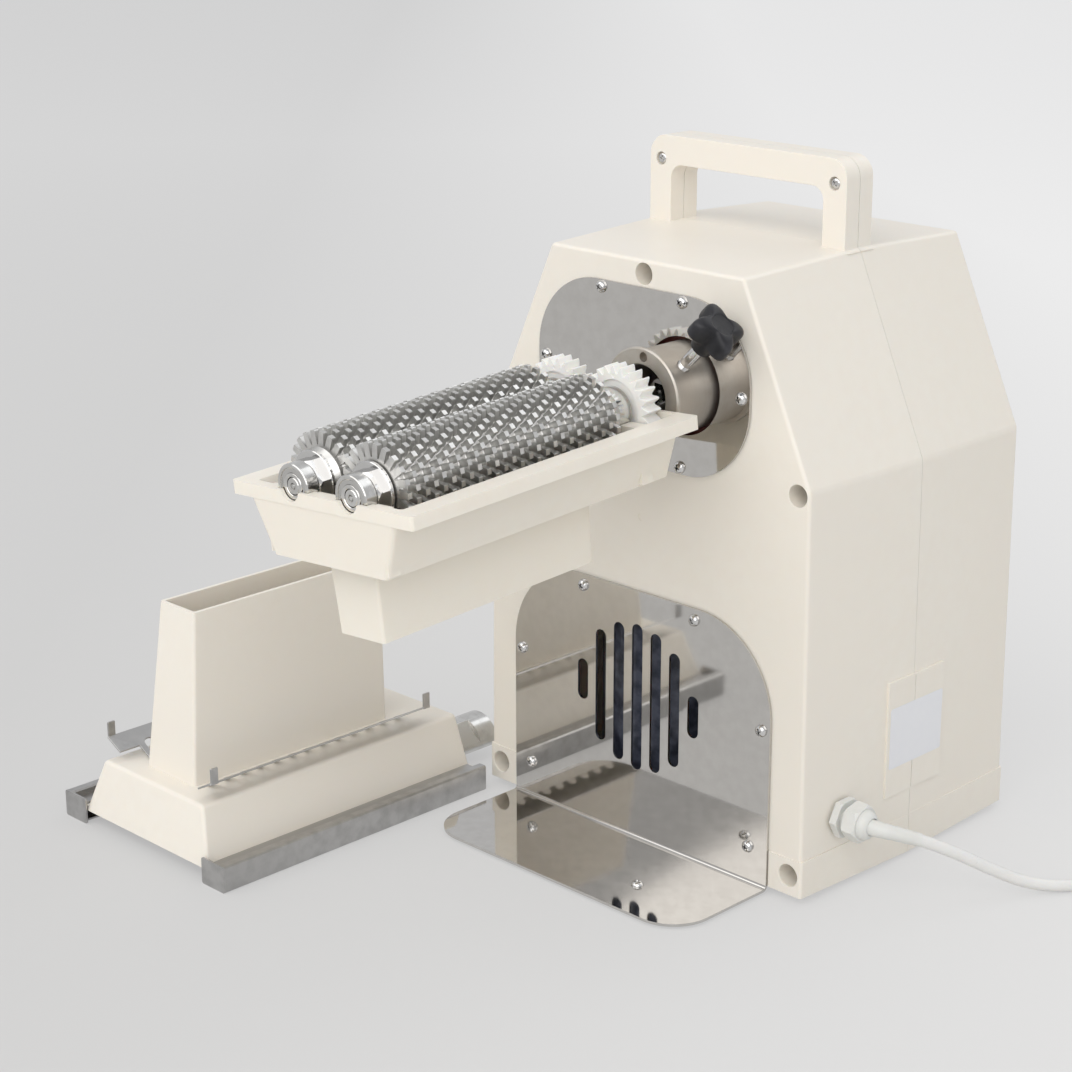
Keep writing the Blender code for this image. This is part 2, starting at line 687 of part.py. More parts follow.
def motor():
    """Upright motor whose worm reaches up into the gearbox."""
    bm = bmesh.new()
    profile = [
        (0, 14.0), (MOTOR_R - 12, 14.0), (MOTOR_R, 22.0), (MOTOR_R, 214.0), (MOTOR_R - 14, 224.0),
        (20.0, 224.0), (20.0, 238.0), (12.0, 238.0), (12.0, 214.0), (0, 214.0),
    ]
    lathe(bm, profile, (WORM_X, WHEEL_Y, 0.0), (0, 0, 1), 28)
    place("Motor_Body", bm, BLUE)
    bm = bmesh.new()
    worm = [(0, 214.6), (7.0, 214.6), (7.0, 268.0)]
    for index in range(9):
        z = 272.0 + index * 8.0
        worm += [(6.4, z), (WORM_R, z + 3.0), (WORM_R, z + 5.0), (6.4, z + 8.0)] if index % 2 else []
    worm += [(6.4, 346.0), (0, 346.0)]
    lathe(bm, worm, (WORM_X, WHEEL_Y, 0.0), (0, 0, 1), 16)
    place("Motor_Shaft", bm, STEEL, None, (WORM_X, WHEEL_Y, 240.0))


def switch():
    """Rocker switch let into the left wall."""
    x = -BASE_HALF - 1.6
    body = bmesh.new()
    box(body, (x - 2.0, 47.0, 69.0), (x + 0.0, 73.0, 103.0))
    made = place("Switch_Body", body, BLACK)
    inner = bmesh.new()
    box(inner, (x - 1.0, 49.4, 71.4), (x + 20.0, 70.6, 100.6))
    boolean(made, place("Switch_Barrel", inner), "UNION")
    well = bmesh.new()
    box(well, (x - 4.0, 51.6, 73.6), (x + 12.0, 68.4, 98.4))
    boolean(made, place("Switch_Well", well))
    rocker = bmesh.new()
    outline = [(x - 1.0, 76.2), (x - 4.0, 95.5), (x + 3.2, 96.6), (x + 7.0, 86.0), (x + 3.2, 75.4)]
    loft(
        rocker,
        [(u, 52.1, v) for u, v in outline],
        [(u, 67.9, v) for u, v in outline],
    )
    place("Switch_Rocker", rocker, BLACK, None, (x + 4.0, 60.0, 86.0))


# ---------------------------------------------------------------- mains lead


def hexagon(across_flats, turn=0.0):
    return circle((0.0, 0.0), across_flats / math.sqrt(3.0), 6, turn)


def gland():
    wall = BASE_HALF + 1.6
    bm = bmesh.new()
    ring = [(LEAD_Y + u, LEAD_Z + v) for u, v in hexagon(23.0)]
    prism(bm, ring, "X", wall, wall + 5.0)
    body = place("Gland_Body", bm, GREY)
    bm = bmesh.new()
    prism(bm, circle((LEAD_Y, LEAD_Z), 8.0, 18), "X", wall - 14.0, wall + 8.0)
    boolean(body, place("Gland_Thread", bm), "UNION")
    bm = bmesh.new()
    prism(bm, circle((LEAD_Y, LEAD_Z), CORD_R + 0.4, 14), "X", wall - 20.0, wall + 12.0)
    boolean(body, place("Gland_Bore", bm))
    bm = bmesh.new()
    ring = [(LEAD_Y + u, LEAD_Z + v) for u, v in hexagon(22.0, 12.0)]
    prism(bm, ring, "X", wall + 8.3, wall + 18.0)
    nut = place("Gland_Nut", bm, GREY)
    bm = bmesh.new()
    lathe(
        bm, [(0, 16.0), (9.6, 16.0), (9.2, 20.0), (6.6, 23.6), (0, 23.6)], (wall, LEAD_Y, LEAD_Z),
        (1, 0, 0), 20,
    )
    boolean(nut, place("Gland_Dome", bm), "UNION")
    bm = bmesh.new()
    prism(bm, circle((LEAD_Y, LEAD_Z), CORD_R + 0.4, 14), "X", wall + 4.0, wall + 30.0)
    boolean(nut, place("Gland_Nut_Bore", bm))


def smooth_route(points, step):
    """Points at even steps along a Catmull-Rom curve through the given ones."""
    pts = [Vector(p) for p in points]
    pts = [2 * pts[0] - pts[1]] + pts + [2 * pts[-1] - pts[-2]]
    fine = []
    for index in range(1, len(pts) - 2):
        a, b, c, d = pts[index - 1:index + 3]
        for part in range(20):
            t = part / 20
            slope = (c - a) * t
            square = (2 * a - 5 * b + 4 * c - d) * t ** 2
            cube = (3 * b - a - 3 * c + d) * t ** 3
            fine.append(0.5 * (2 * b + slope + square + cube))
    fine.append(pts[-2])
    kept = [fine[0]]
    run = 0.0
    for before, after in zip(fine, fine[1:]):
        run += (after - before).length
        if run >= step:
            kept.append(after)
            run = 0.0
    if (kept[-1] - fine[-1]).length < step * 0.5:
        kept.pop()
    kept.append(fine[-1])
    return kept


CORD_ROUTE = [
    (BASE_HALF + out, y, z)
    for out, y, z in (
        (-9.5, -70.0, 45.0), (8.5, -70.0, 45.0), (26.0, -70.0, 44.9), (36.5, -64.0, 43.0),
        (47.5, -51.0, 37.6), (60.5, -33.0, 27.6), (74.5, -13.0, 14.5), (86.5, 4.0, 4.6),
        (99.5, 20.0, 0.0), (111.5, 38.0, -1.0), (121.5, 59.0, -1.0), (127.8, 84.0, -1.0),
    )
]


def cord():
    """Lead from the gland to the floor, the rest of it as one coil with its plug."""
    route = smooth_route(CORD_ROUTE, 9.0)
    curve = bpy.data.curves.new("Mains_Cord", "CURVE")
    curve.dimensions = "3D"
    curve.bevel_depth = CORD_R * MM
    curve.bevel_resolution = 2
    curve.use_fill_caps = True
    spline = curve.splines.new("POLY")
    spline.points.add(len(route) - 1)
    for item, point in zip(spline.points, route):
        item.co = (*(point * MM), 1.0)
    line = bpy.data.objects.new("Mains_Cord", curve)
    line.parent = ROOT
    PARTS.objects.link(line)
    curve.materials.append(material("Mains_Cord_Material", *WHITE))
    bm = bmesh.new()
    low = FLOOR_Z + 0.0
    section = [
        (COIL_R - 3.9, low), (COIL_R + 3.9, low), (COIL_R + 5.4, low + 3.9), (COIL_R + 3.9, low + 8.4),
        (COIL_R + 4.6, low + 12.0), (COIL_R + 2.0, low + 15.6), (COIL_R - 2.0, low + 15.6),
        (COIL_R - 4.6, low + 12.0), (COIL_R - 3.9, low + 8.4), (COIL_R - 5.4, low + 3.9), (COIL_R - 3.9, low),
    ]
    lathe(bm, section, (COIL_X, COIL_Y, 0.0), (0, 0, 1), 36)
    place("Cord_Coil", bm, WHITE)
    bm = bmesh.new()
    rest = FLOOR_Z + 18.6
    body = [
        (0, -50.0), (CORD_R, -50.0), (5.6, -48.0), (6.2, -20.0), (13.0, -12.0), (17.5, 0.0), (18.5, 16.0),
        (18.5, 30.0), (0, 30.0),
    ]
    lathe(bm, body, (COIL_X + 64.3, COIL_Y, rest), (0, -1, 0), 16)
    plug = place("Mains_Plug", bm, WHITE)
    bm = bmesh.new()
    for side in (-9.5, 9.5):
        lathe(
            bm, [(0, 28.0), (2.4, 28.0), (2.4, 47.0), (1.6, 49.0), (0, 49.0)],
            (COIL_X + 64.3 + side, COIL_Y, rest), (0, -1, 0), 10,
        )
    boolean(plug, place("Plug_Pins", bm), "UNION")


# ---------------------------------------------------------------- roller tray

CENTRE = -SPACING / 2


def tray():
    """Open tray with a flanged rim, sloping walls and a narrower chute below."""
    bm = bmesh.new()
    top_half = 64.0

    def rect(half, front, back, z):
        return [
            (CENTRE - half, front, z), (CENTRE + half, front, z), (CENTRE + half, back, z),
            (CENTRE - half, back, z),
        ]

    loft(
        bm,
        rect(TRAY_FLOOR_HALF, TRAY_FRONT + 2, TRAY_BACK, TRAY_FLOOR),
        rect(top_half, TRAY_FRONT, TRAY_BACK, RIM_TOP),
    )
    body = place("Tray", bm, CREAM, TRAY_FRAME)
    bm = bmesh.new()
    loft(
        bm,
        rect(RIM_HALF, TRAY_FRONT, TRAY_BACK, RIM_TOP - RIM_T),
        rect(RIM_HALF, TRAY_FRONT, TRAY_BACK, RIM_TOP),
    )
    boolean(body, place("Tray_Rim", bm, None, TRAY_FRAME), "UNION")
    bm = bmesh.new()
    loft(
        bm,
        rect(CHUTE_HALF, CHUTE_FRONT, CHUTE_BACK, CHUTE_BOTTOM),
        rect(CHUTE_TOP_HALF, CHUTE_FRONT - 1.5, CHUTE_BACK + 1.0, TRAY_FLOOR + 1.0),
    )
    boolean(body, place("Tray_Chute", bm, None, TRAY_FRAME), "UNION")
    bm = bmesh.new()
    wall = TRAY_WALL
    slope = (top_half - TRAY_FLOOR_HALF) / (RIM_TOP - TRAY_FLOOR)
    loft(
        bm,
        rect(TRAY_FLOOR_HALF - wall, TRAY_FRONT + 2 + wall, TRAY_BACK - wall, TRAY_FLOOR + wall),
        rect(top_half - wall + slope * 2, TRAY_FRONT + 7.0, TRAY_BACK - wall, RIM_TOP + 2),
    )
    boolean(body, place("Tray_Hollow", bm, None, TRAY_FRAME))
    bm = bmesh.new()
    loft(
        bm,
        rect(CHUTE_HALF - 2.5, CHUTE_FRONT + 2.5, CHUTE_BACK - 2.5, CHUTE_BOTTOM - 2),
        rect(CHUTE_TOP_HALF - 2.5, CHUTE_FRONT + 1.5, CHUTE_BACK - 1.5, TRAY_FLOOR + wall + 1),
    )
    boolean(body, place("Tray_Chute_Hollow", bm, None, TRAY_FRAME))
    bm = bmesh.new()
    # Saddles that carry the four bearings, front pair and rear pair.
    box(
        bm, (CENTRE - 50, BEARING_FRONT - 0.4, TRAY_FLOOR + 1.5),
        (CENTRE + 50, BEARING_FRONT + 8.0, RIM_TOP - 1.0),
    )
    box(bm, (CENTRE - 52, -71.5, TRAY_FLOOR + 1.5), (CENTRE + 52, -62.0, RIM_TOP - 4.0))
    boolean(body, place("Tray_Saddles", bm, None, TRAY_FRAME), "UNION")
    bm = bmesh.new()
    seat = [
        (0, TRAY_FRONT - 1.8), (9.0, TRAY_FRONT - 1.8), (9.0, BEARING_FRONT - GAP),
        (BEARING_R + GAP, BEARING_FRONT - GAP), (BEARING_R + GAP, BEARING_FRONT + 12.0),
        (0, BEARING_FRONT + 12.0),
    ]
    rear_seat = [(0, -76.0), (14.0 + GAP, -76.0), (14.0 + GAP, -55.0), (0, -55.0)]
    for x in (0.0, -SPACING):
        lathe(bm, seat, (x, 0, 0), (0, 1, 0), 20)
        lathe(bm, rear_seat, (x, 0, 0), (0, 1, 0), 20)
    lathe(
        bm, [(0, -48.5), (SPIGOT_R - 4.2, -48.5), (SPIGOT_R - 4.2, -40.0), (0, -40.0)], (0, 0, 0),
        (0, 1, 0), 20,
    )
    boolean(body, place("Tray_Seats", bm, None, TRAY_FRAME))


def half_tube(bm, centre, outer, inner, low, high, start, end, steps=14):
    """Half of a tube along Y between two angles."""
    outline = arc(centre, outer, start, end, steps)
    outline += arc(centre, inner, end, start, steps)
    prism(bm, outline, "Y", low, high)


def tray_spigot():
    bm = bmesh.new()
    half_tube(bm, (0, 0), SPIGOT_R, SPIGOT_R - 3.9, TRAY_BACK + GAP, SPIGOT_IN, 182, 358)
    place("Tray_Spigot", bm, ZINC, TRAY_FRAME)


def blades(name, x, offset, turn):
    """Stack of toothed discs on a spacer tube: one body, each disc a star with long pointed teeth."""
    bm = bmesh.new()
    steps = DISC_TEETH // 2
    rings = []

    def core_ring(y):
        ring = []
        for index in range(steps):
            angle = 2 * math.pi * index / steps
            ring.append(bm.verts.new((x + CORE_R * math.cos(angle), y, CORE_R * math.sin(angle))))
        return ring

    def star_ring(y):
        return [bm.verts.new((x + u, y, v)) for u, v in star_points(DISC_TEETH, DISC_R, DISC_ROOT)]

    def join(low, high):
        count = len(low)
        for index in range(count):
            after = (index + 1) % count
            bm.faces.new((low[index], low[after], high[after], high[index]))

    def web(core, star):
        """Annulus between a core point and the four outline points that follow it."""
        for index in range(steps):
            after = (index + 1) % steps
            base = index * 4
            outline = [star[(base + step) % len(star)] for step in range(5)]
            bm.faces.new((core[index], *outline[:3]))
            bm.faces.new((core[index], outline[2], core[after]))
            bm.faces.new((core[after], *outline[2:]))

    y = DISC_START + offset
    first = core_ring(DISC_START - 0.5)
    bm.faces.new(first)
    last = first
    for _ in range(DISC_COUNT):
        low_core = core_ring(y)
        join(last, low_core)
        low_star = star_ring(y)
        high_star = star_ring(y + DISC_T)
        high_core = core_ring(y + DISC_T)
        web(low_core, low_star)
        join(low_star, high_star)
        web(high_core, high_star)
        last = high_core
        y += DISC_PITCH
    end = core_ring(GEAR_FRONT - 12.0)
    join(last, end)
    bm.faces.new(end)
    made = place(name, bm, STEEL, TRAY_FRAME, (x, -157.0, 0.0))
    hole = bmesh.new()
    prism(hole, circle((x, 0.0), SHAFT_R + GAP, 12), "Y", -260.0, -40.0)
    boolean(made, place(name + "_Bore", hole, None, TRAY_FRAME))


def roller(tag, x, offset, driven):
    blades("Blades_" + tag, x, offset, 0.0)
    bm = bmesh.new()
    end = -27.0 if driven else TRAY_BACK - 3.6
    shaft = [(0, BEARING_FRONT), (SHAFT_R, BEARING_FRONT), (SHAFT_R, end), (0, end)]
    lathe(bm, shaft, (x, 0, 0), (0, 1, 0), 16)
    made = place("Shaft_" + tag, bm, STEEL, TRAY_FRAME, (x, -157.0, 0.0))
    if driven:
        bm = bmesh.new()
        box(bm, (x - 3.0, end - 4.0, -3.0), (x + 3.0, end + 9.0, 3.0))
        boolean(made, place("Shaft_Square", bm, None, TRAY_FRAME), "UNION")
    bm = bmesh.new()
    inner = SHAFT_R + GAP
    ring = tube_profile(inner, BEARING_R, BEARING_FRONT + 0.01, BEARING_FRONT + BEARING_T)
    lathe(bm, ring, (x, 0, 0), (0, 1, 0), SEGS)
    place("Front_Bearing_" + tag, bm, STEEL, TRAY_FRAME, (x, -263.0, 0.0))
    bm = bmesh.new()
    lathe(bm, tube_profile(inner, 14.0, -72.0, GEAR_FRONT - GAP), (x, 0, 0), (0, 1, 0), SEGS)
    place("Rear_Bearing_" + tag, bm, STEEL, TRAY_FRAME, (x, -66.0, 0.0))
    bm = bmesh.new()
    points = [(x + u, v) for u, v in hexagon(24.0, 8.0)]
    prism(bm, points, "Y", -252.8, -245.6)
    nut = place("Nut_" + tag, bm, STEEL, TRAY_FRAME, (x, -249.0, 0.0))
    bm = bmesh.new()
    prism(bm, circle((x, 0.0), 17.0, SEGS), "Y", -245.8, DISC_START - 0.8)
    boolean(nut, place("Washer_" + tag, bm, None, TRAY_FRAME), "UNION")
    bm = bmesh.new()
    prism(bm, circle((x, 0.0), inner, 12), "Y", -256.0, -238.0)
    boolean(nut, place("Nut_Bore_" + tag, bm, None, TRAY_FRAME))
    bm = bmesh.new()
    half = math.pi / GEAR_TEETH
    turn = 0.0 if driven else half
    outline = star_points(GEAR_TEETH, GEAR_TIP, GEAR_ROOT, half * 0.28, turn)
    prism(bm, [(x + u, v) for u, v in outline], "Y", GEAR_FRONT, GEAR_FRONT + GEAR_T)
    gear = place("Gear_" + tag, bm, WHITE, TRAY_FRAME, (x, GEAR_FRONT, 0.0))
    bm = bmesh.new()
    prism(bm, circle((x, 0.0), inner, 12), "Y", GEAR_FRONT - 3, GEAR_FRONT + GEAR_T + 3)
    boolean(gear, place("Gear_Bore_" + tag, bm, None, TRAY_FRAME))


# ---------------------------------------------------------------- feed hood


def hood():
    """Hood lying apart: low sloping base with side flanges, and a tall tapering funnel."""

    def rect(half, front, back, z):
        return [
            (HOOD_X - half, front, z), (HOOD_X + half, front, z), (HOOD_X + half, back, z),
            (HOOD_X - half, back, z),
        ]

    bm = bmesh.new()
    base = rect(HOOD_HALF, HOOD_FRONT, HOOD_BACK, HOOD_BASE_Z)
    deck = rect(HOOD_DECK_HALF, HOOD_DECK_FRONT, HOOD_DECK_BACK, HOOD_BASE_Z + HOOD_DECK_Z)
    loft(bm, base, deck)
    body = place("Hood", bm, CREAM)
    bm = bmesh.new()
    loft(
        bm,
        rect(HOOD_FLANGE_HALF, HOOD_FRONT + 1.0, HOOD_BACK - 1.0, HOOD_BASE_Z),
        rect(HOOD_FLANGE_HALF, HOOD_FRONT + 1.0, HOOD_BACK - 1.0, HOOD_BASE_Z + HOOD_FLANGE_T),
    )
    boolean(body, place("Hood_Flanges", bm), "UNION")
    bm = bmesh.new()
    loft(
        bm,
        rect(FUNNEL_FOOT_HALF, FUNNEL_FOOT_FRONT, FUNNEL_FOOT_BACK, HOOD_BASE_Z + HOOD_DECK_Z - 1),
        rect(FUNNEL_TOP_HALF, FUNNEL_TOP_FRONT, FUNNEL_TOP_BACK, HOOD_BASE_Z + FUNNEL_TOP),
    )
    boolean(body, place("Hood_Funnel", bm), "UNION")
    bm = bmesh.new()
    wall = HOOD_WALL
    deck_z = HOOD_BASE_Z + HOOD_DECK_Z
    top_z = HOOD_BASE_Z + FUNNEL_TOP
    loft(
        bm,
        rect(HOOD_HALF - wall + 0.4, HOOD_FRONT + wall - 0.4, HOOD_BACK - wall, HOOD_BASE_Z - 1),
        rect(HOOD_DECK_HALF - wall, HOOD_DECK_FRONT + wall, HOOD_DECK_BACK - wall, deck_z - wall),
    )
    boolean(body, place("Hood_Hollow", bm))
    bm = bmesh.new()
    loft(
        bm,
        rect(FUNNEL_FOOT_HALF - wall, FUNNEL_FOOT_FRONT + wall, FUNNEL_FOOT_BACK - wall, deck_z - 5),
        rect(FUNNEL_TOP_HALF - wall, FUNNEL_TOP_FRONT + wall, FUNNEL_TOP_BACK - wall, top_z + 2),
    )
    boolean(body, place("Hood_Funnel_Hollow", bm))


def comb(name, side):
    """Stripper comb: a sheet resting on the deck and rising outwards, with an upright tab at each end."""
    bm = bmesh.new()
    deck = HOOD_BASE_Z + HOOD_DECK_Z + COMB_LIFT
    outline = [(COMB_FRONT, 13.0), (COMB_FRONT, COMB_WIDTH), (COMB_BACK, COMB_WIDTH), (COMB_BACK, 13.0)]
    outline += [(COMB_BACK - 7.0, 13.0)]
    pitch = (COMB_BACK - COMB_FRONT - 14.0) / COMB_FINGERS
    for index in range(COMB_FINGERS):
        y = COMB_BACK - 7.0 - pitch * (index + 1)
        tip = y + pitch - COMB_FINGER_W
        outline += [(y + pitch, 0.0), (tip, 0.0)]
        if index < COMB_FINGERS - 1:
            outline += [
                (tip, COMB_GAP - 3.0), (tip - 2.6, COMB_GAP), (y + 2.6, COMB_GAP), (y, COMB_GAP - 3.0),
            ]
    outline += [(tip, 13.0)]

    def at(y, width, depth):
        x = HOOD_X + side * (COMB_FOOT_X + math.cos(COMB_SLOPE) * width - math.sin(COMB_SLOPE) * depth)
        return (x, y, deck + math.sin(COMB_SLOPE) * width + math.cos(COMB_SLOPE) * depth)

    loft(bm, [at(y, width, 0.0) for y, width in outline], [at(y, width, COMB_T) for y, width in outline])
    sheet = place(name, bm, STEEL, None, (HOOD_X + side * COMB_FOOT_X, -235.0, deck))
    bm = bmesh.new()
    edge = at(0.0, COMB_WIDTH, 0.0)
    for low, high in ((COMB_FRONT - 0.1, COMB_FRONT + 8.0), (COMB_BACK - 8.0, COMB_BACK + 0.1)):
        corner = sorted((edge[0] - side * 1.0, edge[0] + side * 0.3))
        box(bm, (corner[0], low, edge[2] - 0.4), (corner[1], high, edge[2] + COMB_TAB))
    boolean(sheet, place(name + "_Tabs", bm), "UNION")


def rail(name, side):
    """Clip rail: a C channel round the flange with an upright pull tab at its front end."""
    bm = bmesh.new()

    def at(u, z):
        return (HOOD_X + side * u, z)

    low = FLOOR_Z + 0.12
    outline = [
        (RAIL_IN, HOOD_BASE_Z + HOOD_FLANGE_T + GAP), (RAIL_IN, HOOD_BASE_Z + HOOD_FLANGE_T + GAP + RAIL_T),
        (RAIL_OUT - 7.0, HOOD_BASE_Z + HOOD_FLANGE_T + GAP + RAIL_T), (RAIL_OUT - 7.0, RAIL_TOP),
        (RAIL_OUT, RAIL_TOP), (RAIL_OUT, low), (RAIL_IN, low), (RAIL_IN, low + RAIL_T),
        (RAIL_OUT - RAIL_T, low + RAIL_T), (RAIL_OUT - RAIL_T, RAIL_TOP - RAIL_T),
        (RAIL_OUT - 7.0 + RAIL_T, RAIL_TOP - RAIL_T),
        (RAIL_OUT - 7.0 + RAIL_T, HOOD_BASE_Z + HOOD_FLANGE_T + GAP),
    ]
    prism(bm, [at(u, z) for u, z in outline], "Y", HOOD_FRONT - 1.4, HOOD_BACK - 4.0)
    made = place(name, bm, STEEL, None, (HOOD_X + side * RAIL_OUT, -230.0, 0.0))
    bm = bmesh.new()
    corner = sorted((HOOD_X + side * (RAIL_IN - 4.0), HOOD_X + side * (RAIL_OUT + 0.15)))
    box(
        bm, (corner[0], HOOD_FRONT - 2.0, FLOOR_Z + 0.02),
        (corner[1], HOOD_FRONT - 2.0 + RAIL_T, RAIL_TOP + 0.2),
    )
    boolean(made, place(name + "_Tab", bm), "UNION")


def hood_spigot():
    bm = bmesh.new()
    centre = (HOOD_X + HOOD_SPIGOT_X, HOOD_BASE_Z)
    outline = arc(centre, HOOD_SPIGOT_R, 0, 180, 16)
    outline += arc(centre, 12.9, 180, 0, 12)
    prism(bm, outline, "Y", HOOD_BACK + GAP, HOOD_BACK + HOOD_SPIGOT_LEN)
    made = place("Hood_Spigot", bm, ZINC)
    bm = bmesh.new()
    flat = (centre[0] + 16.5 * math.cos(math.radians(45)), centre[1] + 16.5 * math.sin(math.radians(45)))
    start = HOOD_BACK + 8.0
    tool = place("Hood_Spigot_Flat", flat_tool(bm, centre, start))
    boolean(made, tool)


def flat_tool(bm, centre, start):
    """Box that mills the flat on which the clamp stud bears, turned to face it."""
    turn = Matrix.Rotation(math.radians(45.0), 4, "Y")
    spot = Matrix.Translation(Vector((centre[0], start + 12.0, centre[1])))
    bmesh.ops.create_cube(
        bm, size=1.0,
        matrix=spot @ turn @ Matrix.Translation((0, 0, 21.0)) @ Matrix.Diagonal((26.0, 18.0, 9.6, 1.0)),
    )
    return bm


def handle_screws():
    for index, side in enumerate((-1, 1)):
        at = (side * HANDLE_SCREW[0], -HANDLE_HALF_DEPTH + 2.2 - GAP, HANDLE_SCREW[1])
        screw("Handle_Screw_%d" % (index + 1), 3.9, 1.8, 18.0, at, (0, -1, 0), height=2.2)


def main():
    front_shell()
    rear_shell()
    feet()
    upper_plate()
    lower_plate()
    handle_screws()
    gearbox()
    socket()
    clamp_screw()
    motor()
    switch()
    gland()
    cord()
    tray()
    tray_spigot()
    roller("A", 0.0, 0.0, True)
    roller("B", -SPACING, DISC_PITCH / 2, False)
    hood()
    comb("Comb_Right", 1)
    comb("Comb_Left", -1)
    rail("Rail_Right", 1)
    rail("Rail_Left", -1)
    hood_spigot()


# The model's origin: middle of its bounding box, on the floor, the mains lead left out.
ORIGIN = (-68.825, -134.636, FLOOR_Z)

main()
ROOT.location = -Vector(ORIGIN) * MM
bpy.context.view_layer.update()
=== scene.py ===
"""Bench-top roller meat tenderiser, with its feed hood taken off and standing beside it.

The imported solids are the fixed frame. Each sub-assembly below draws the finer shapes that stand for
them, in millimetres in its own frame, and gives every surface a procedural finish.
"""

from __future__ import annotations
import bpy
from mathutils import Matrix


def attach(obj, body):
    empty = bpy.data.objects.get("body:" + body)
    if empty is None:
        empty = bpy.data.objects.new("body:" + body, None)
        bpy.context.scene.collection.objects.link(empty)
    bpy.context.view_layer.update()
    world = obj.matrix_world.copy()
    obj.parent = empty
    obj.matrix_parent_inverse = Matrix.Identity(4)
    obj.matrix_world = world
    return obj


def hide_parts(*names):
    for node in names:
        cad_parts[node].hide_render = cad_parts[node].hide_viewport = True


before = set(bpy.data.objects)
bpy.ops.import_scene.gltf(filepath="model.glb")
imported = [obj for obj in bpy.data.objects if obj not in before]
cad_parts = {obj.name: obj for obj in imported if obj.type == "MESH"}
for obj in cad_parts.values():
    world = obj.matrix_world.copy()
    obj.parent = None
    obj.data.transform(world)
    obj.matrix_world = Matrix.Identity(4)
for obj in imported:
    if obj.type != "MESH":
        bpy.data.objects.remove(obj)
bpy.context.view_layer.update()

import logging  # noqa: E402
import math  # noqa: E402
from dataclasses import dataclass  # noqa: E402
from enum import Enum  # noqa: E402
from typing import Callable, Iterable, Mapping, Sequence  # noqa: E402

import bmesh  # noqa: E402
import bpy  # noqa: E402
from mathutils import Matrix, Vector  # noqa: E402

LOG = logging.getLogger("tenderiser")
MM = 0.001
Point2 = tuple[float, float]
Point3 = tuple[float, float, float]
Colour = tuple[float, float, float]
Sockets = Mapping[str, object]
Results = dict[str, object]


@dataclass(frozen=True)
class Place:
    """A frame that a sub-assembly is drawn in.

    Attributes:
        origin: Its origin in the row frame, in millimetres.
        droop: Turn about X, in degrees.
        roll: Turn about Y, in degrees, made before the droop.
    """

    origin: Point3
    droop: float = 0.0
    roll: float = 0.0

    def matrix(self) -> Matrix:
        """The move from millimetres in this frame to metres in the row frame."""
        turn = Matrix.Rotation(math.radians(self.droop), 4, "X") @ Matrix.Rotation(math.radians(self.roll), 4, "Y")
        return Matrix.Diagonal((MM, MM, MM, 1.0)) @ Matrix.Translation(self.origin) @ turn

    def point(self, at: Sequence[float]) -> Vector:
        """A point of this frame in the row frame."""
        return self.matrix() @ Vector(at)


DRIVE = Place((68.825, 134.636, 5.0))
TRAY = Place((102.825, 28.536, 313.5), 3.0, -4.2)
# X and Z of the driven axis in the drive's frame, and a point on it in the row frame, in metres.
DRIVEN_AXIS = (34.0, 308.5)
DRIVEN_SPOT = (0.102825, 0.0, 0.3135)


class Axis(Enum):
    """The axis that an outline is carried along."""

    X = 0
    Y = 1
    Z = 2

    def lift(self, point: Point2, depth: float) -> Point3:
        """An outline point at a depth along this axis.

        Args:
            point: The two coordinates across the axis, in X, Y, Z order.
            depth: The coordinate along the axis.

        Returns:
            The point in three dimensions.
        """
        if self is Axis.X:
            return (depth, point[0], point[1])
        if self is Axis.Y:
            return (point[0], depth, point[1])
        return (point[0], point[1], depth)


def arc(centre: Point2, radius: float, start: float, end: float, steps: int) -> list[Point2]:
    """Points along a circular arc."""
    turns = [math.radians(start + (end - start) * index / steps) for index in range(steps + 1)]
    return [(centre[0] + radius * math.cos(turn), centre[1] + radius * math.sin(turn)) for turn in turns]


def ring(centre: Point2, radius: float, steps: int = 48, turn: float = 0.0) -> list[Point2]:
    """Points round a whole circle, the first one not repeated."""
    return arc(centre, radius, turn, turn + 360.0, steps)[:-1]


def soft_rect(centre: Point2, width: float, height: float, radius: float, steps: int = 12) -> list[Point2]:
    """A rectangle with rounded corners.

    Args:
        centre: Middle of the rectangle.
        width: Full width.
        height: Full height.
        radius: Corner radius.
        steps: Chords in each corner.

    Returns:
        The outline, anticlockwise.
    """
    made: list[Point2] = []
    for index, (along, up) in enumerate(((1, 1), (-1, 1), (-1, -1), (1, -1))):
        corner = (centre[0] + along * (width / 2 - radius), centre[1] + up * (height / 2 - radius))
        made += arc(corner, radius, 90 * index, 90 * index + 90, steps)
    return made


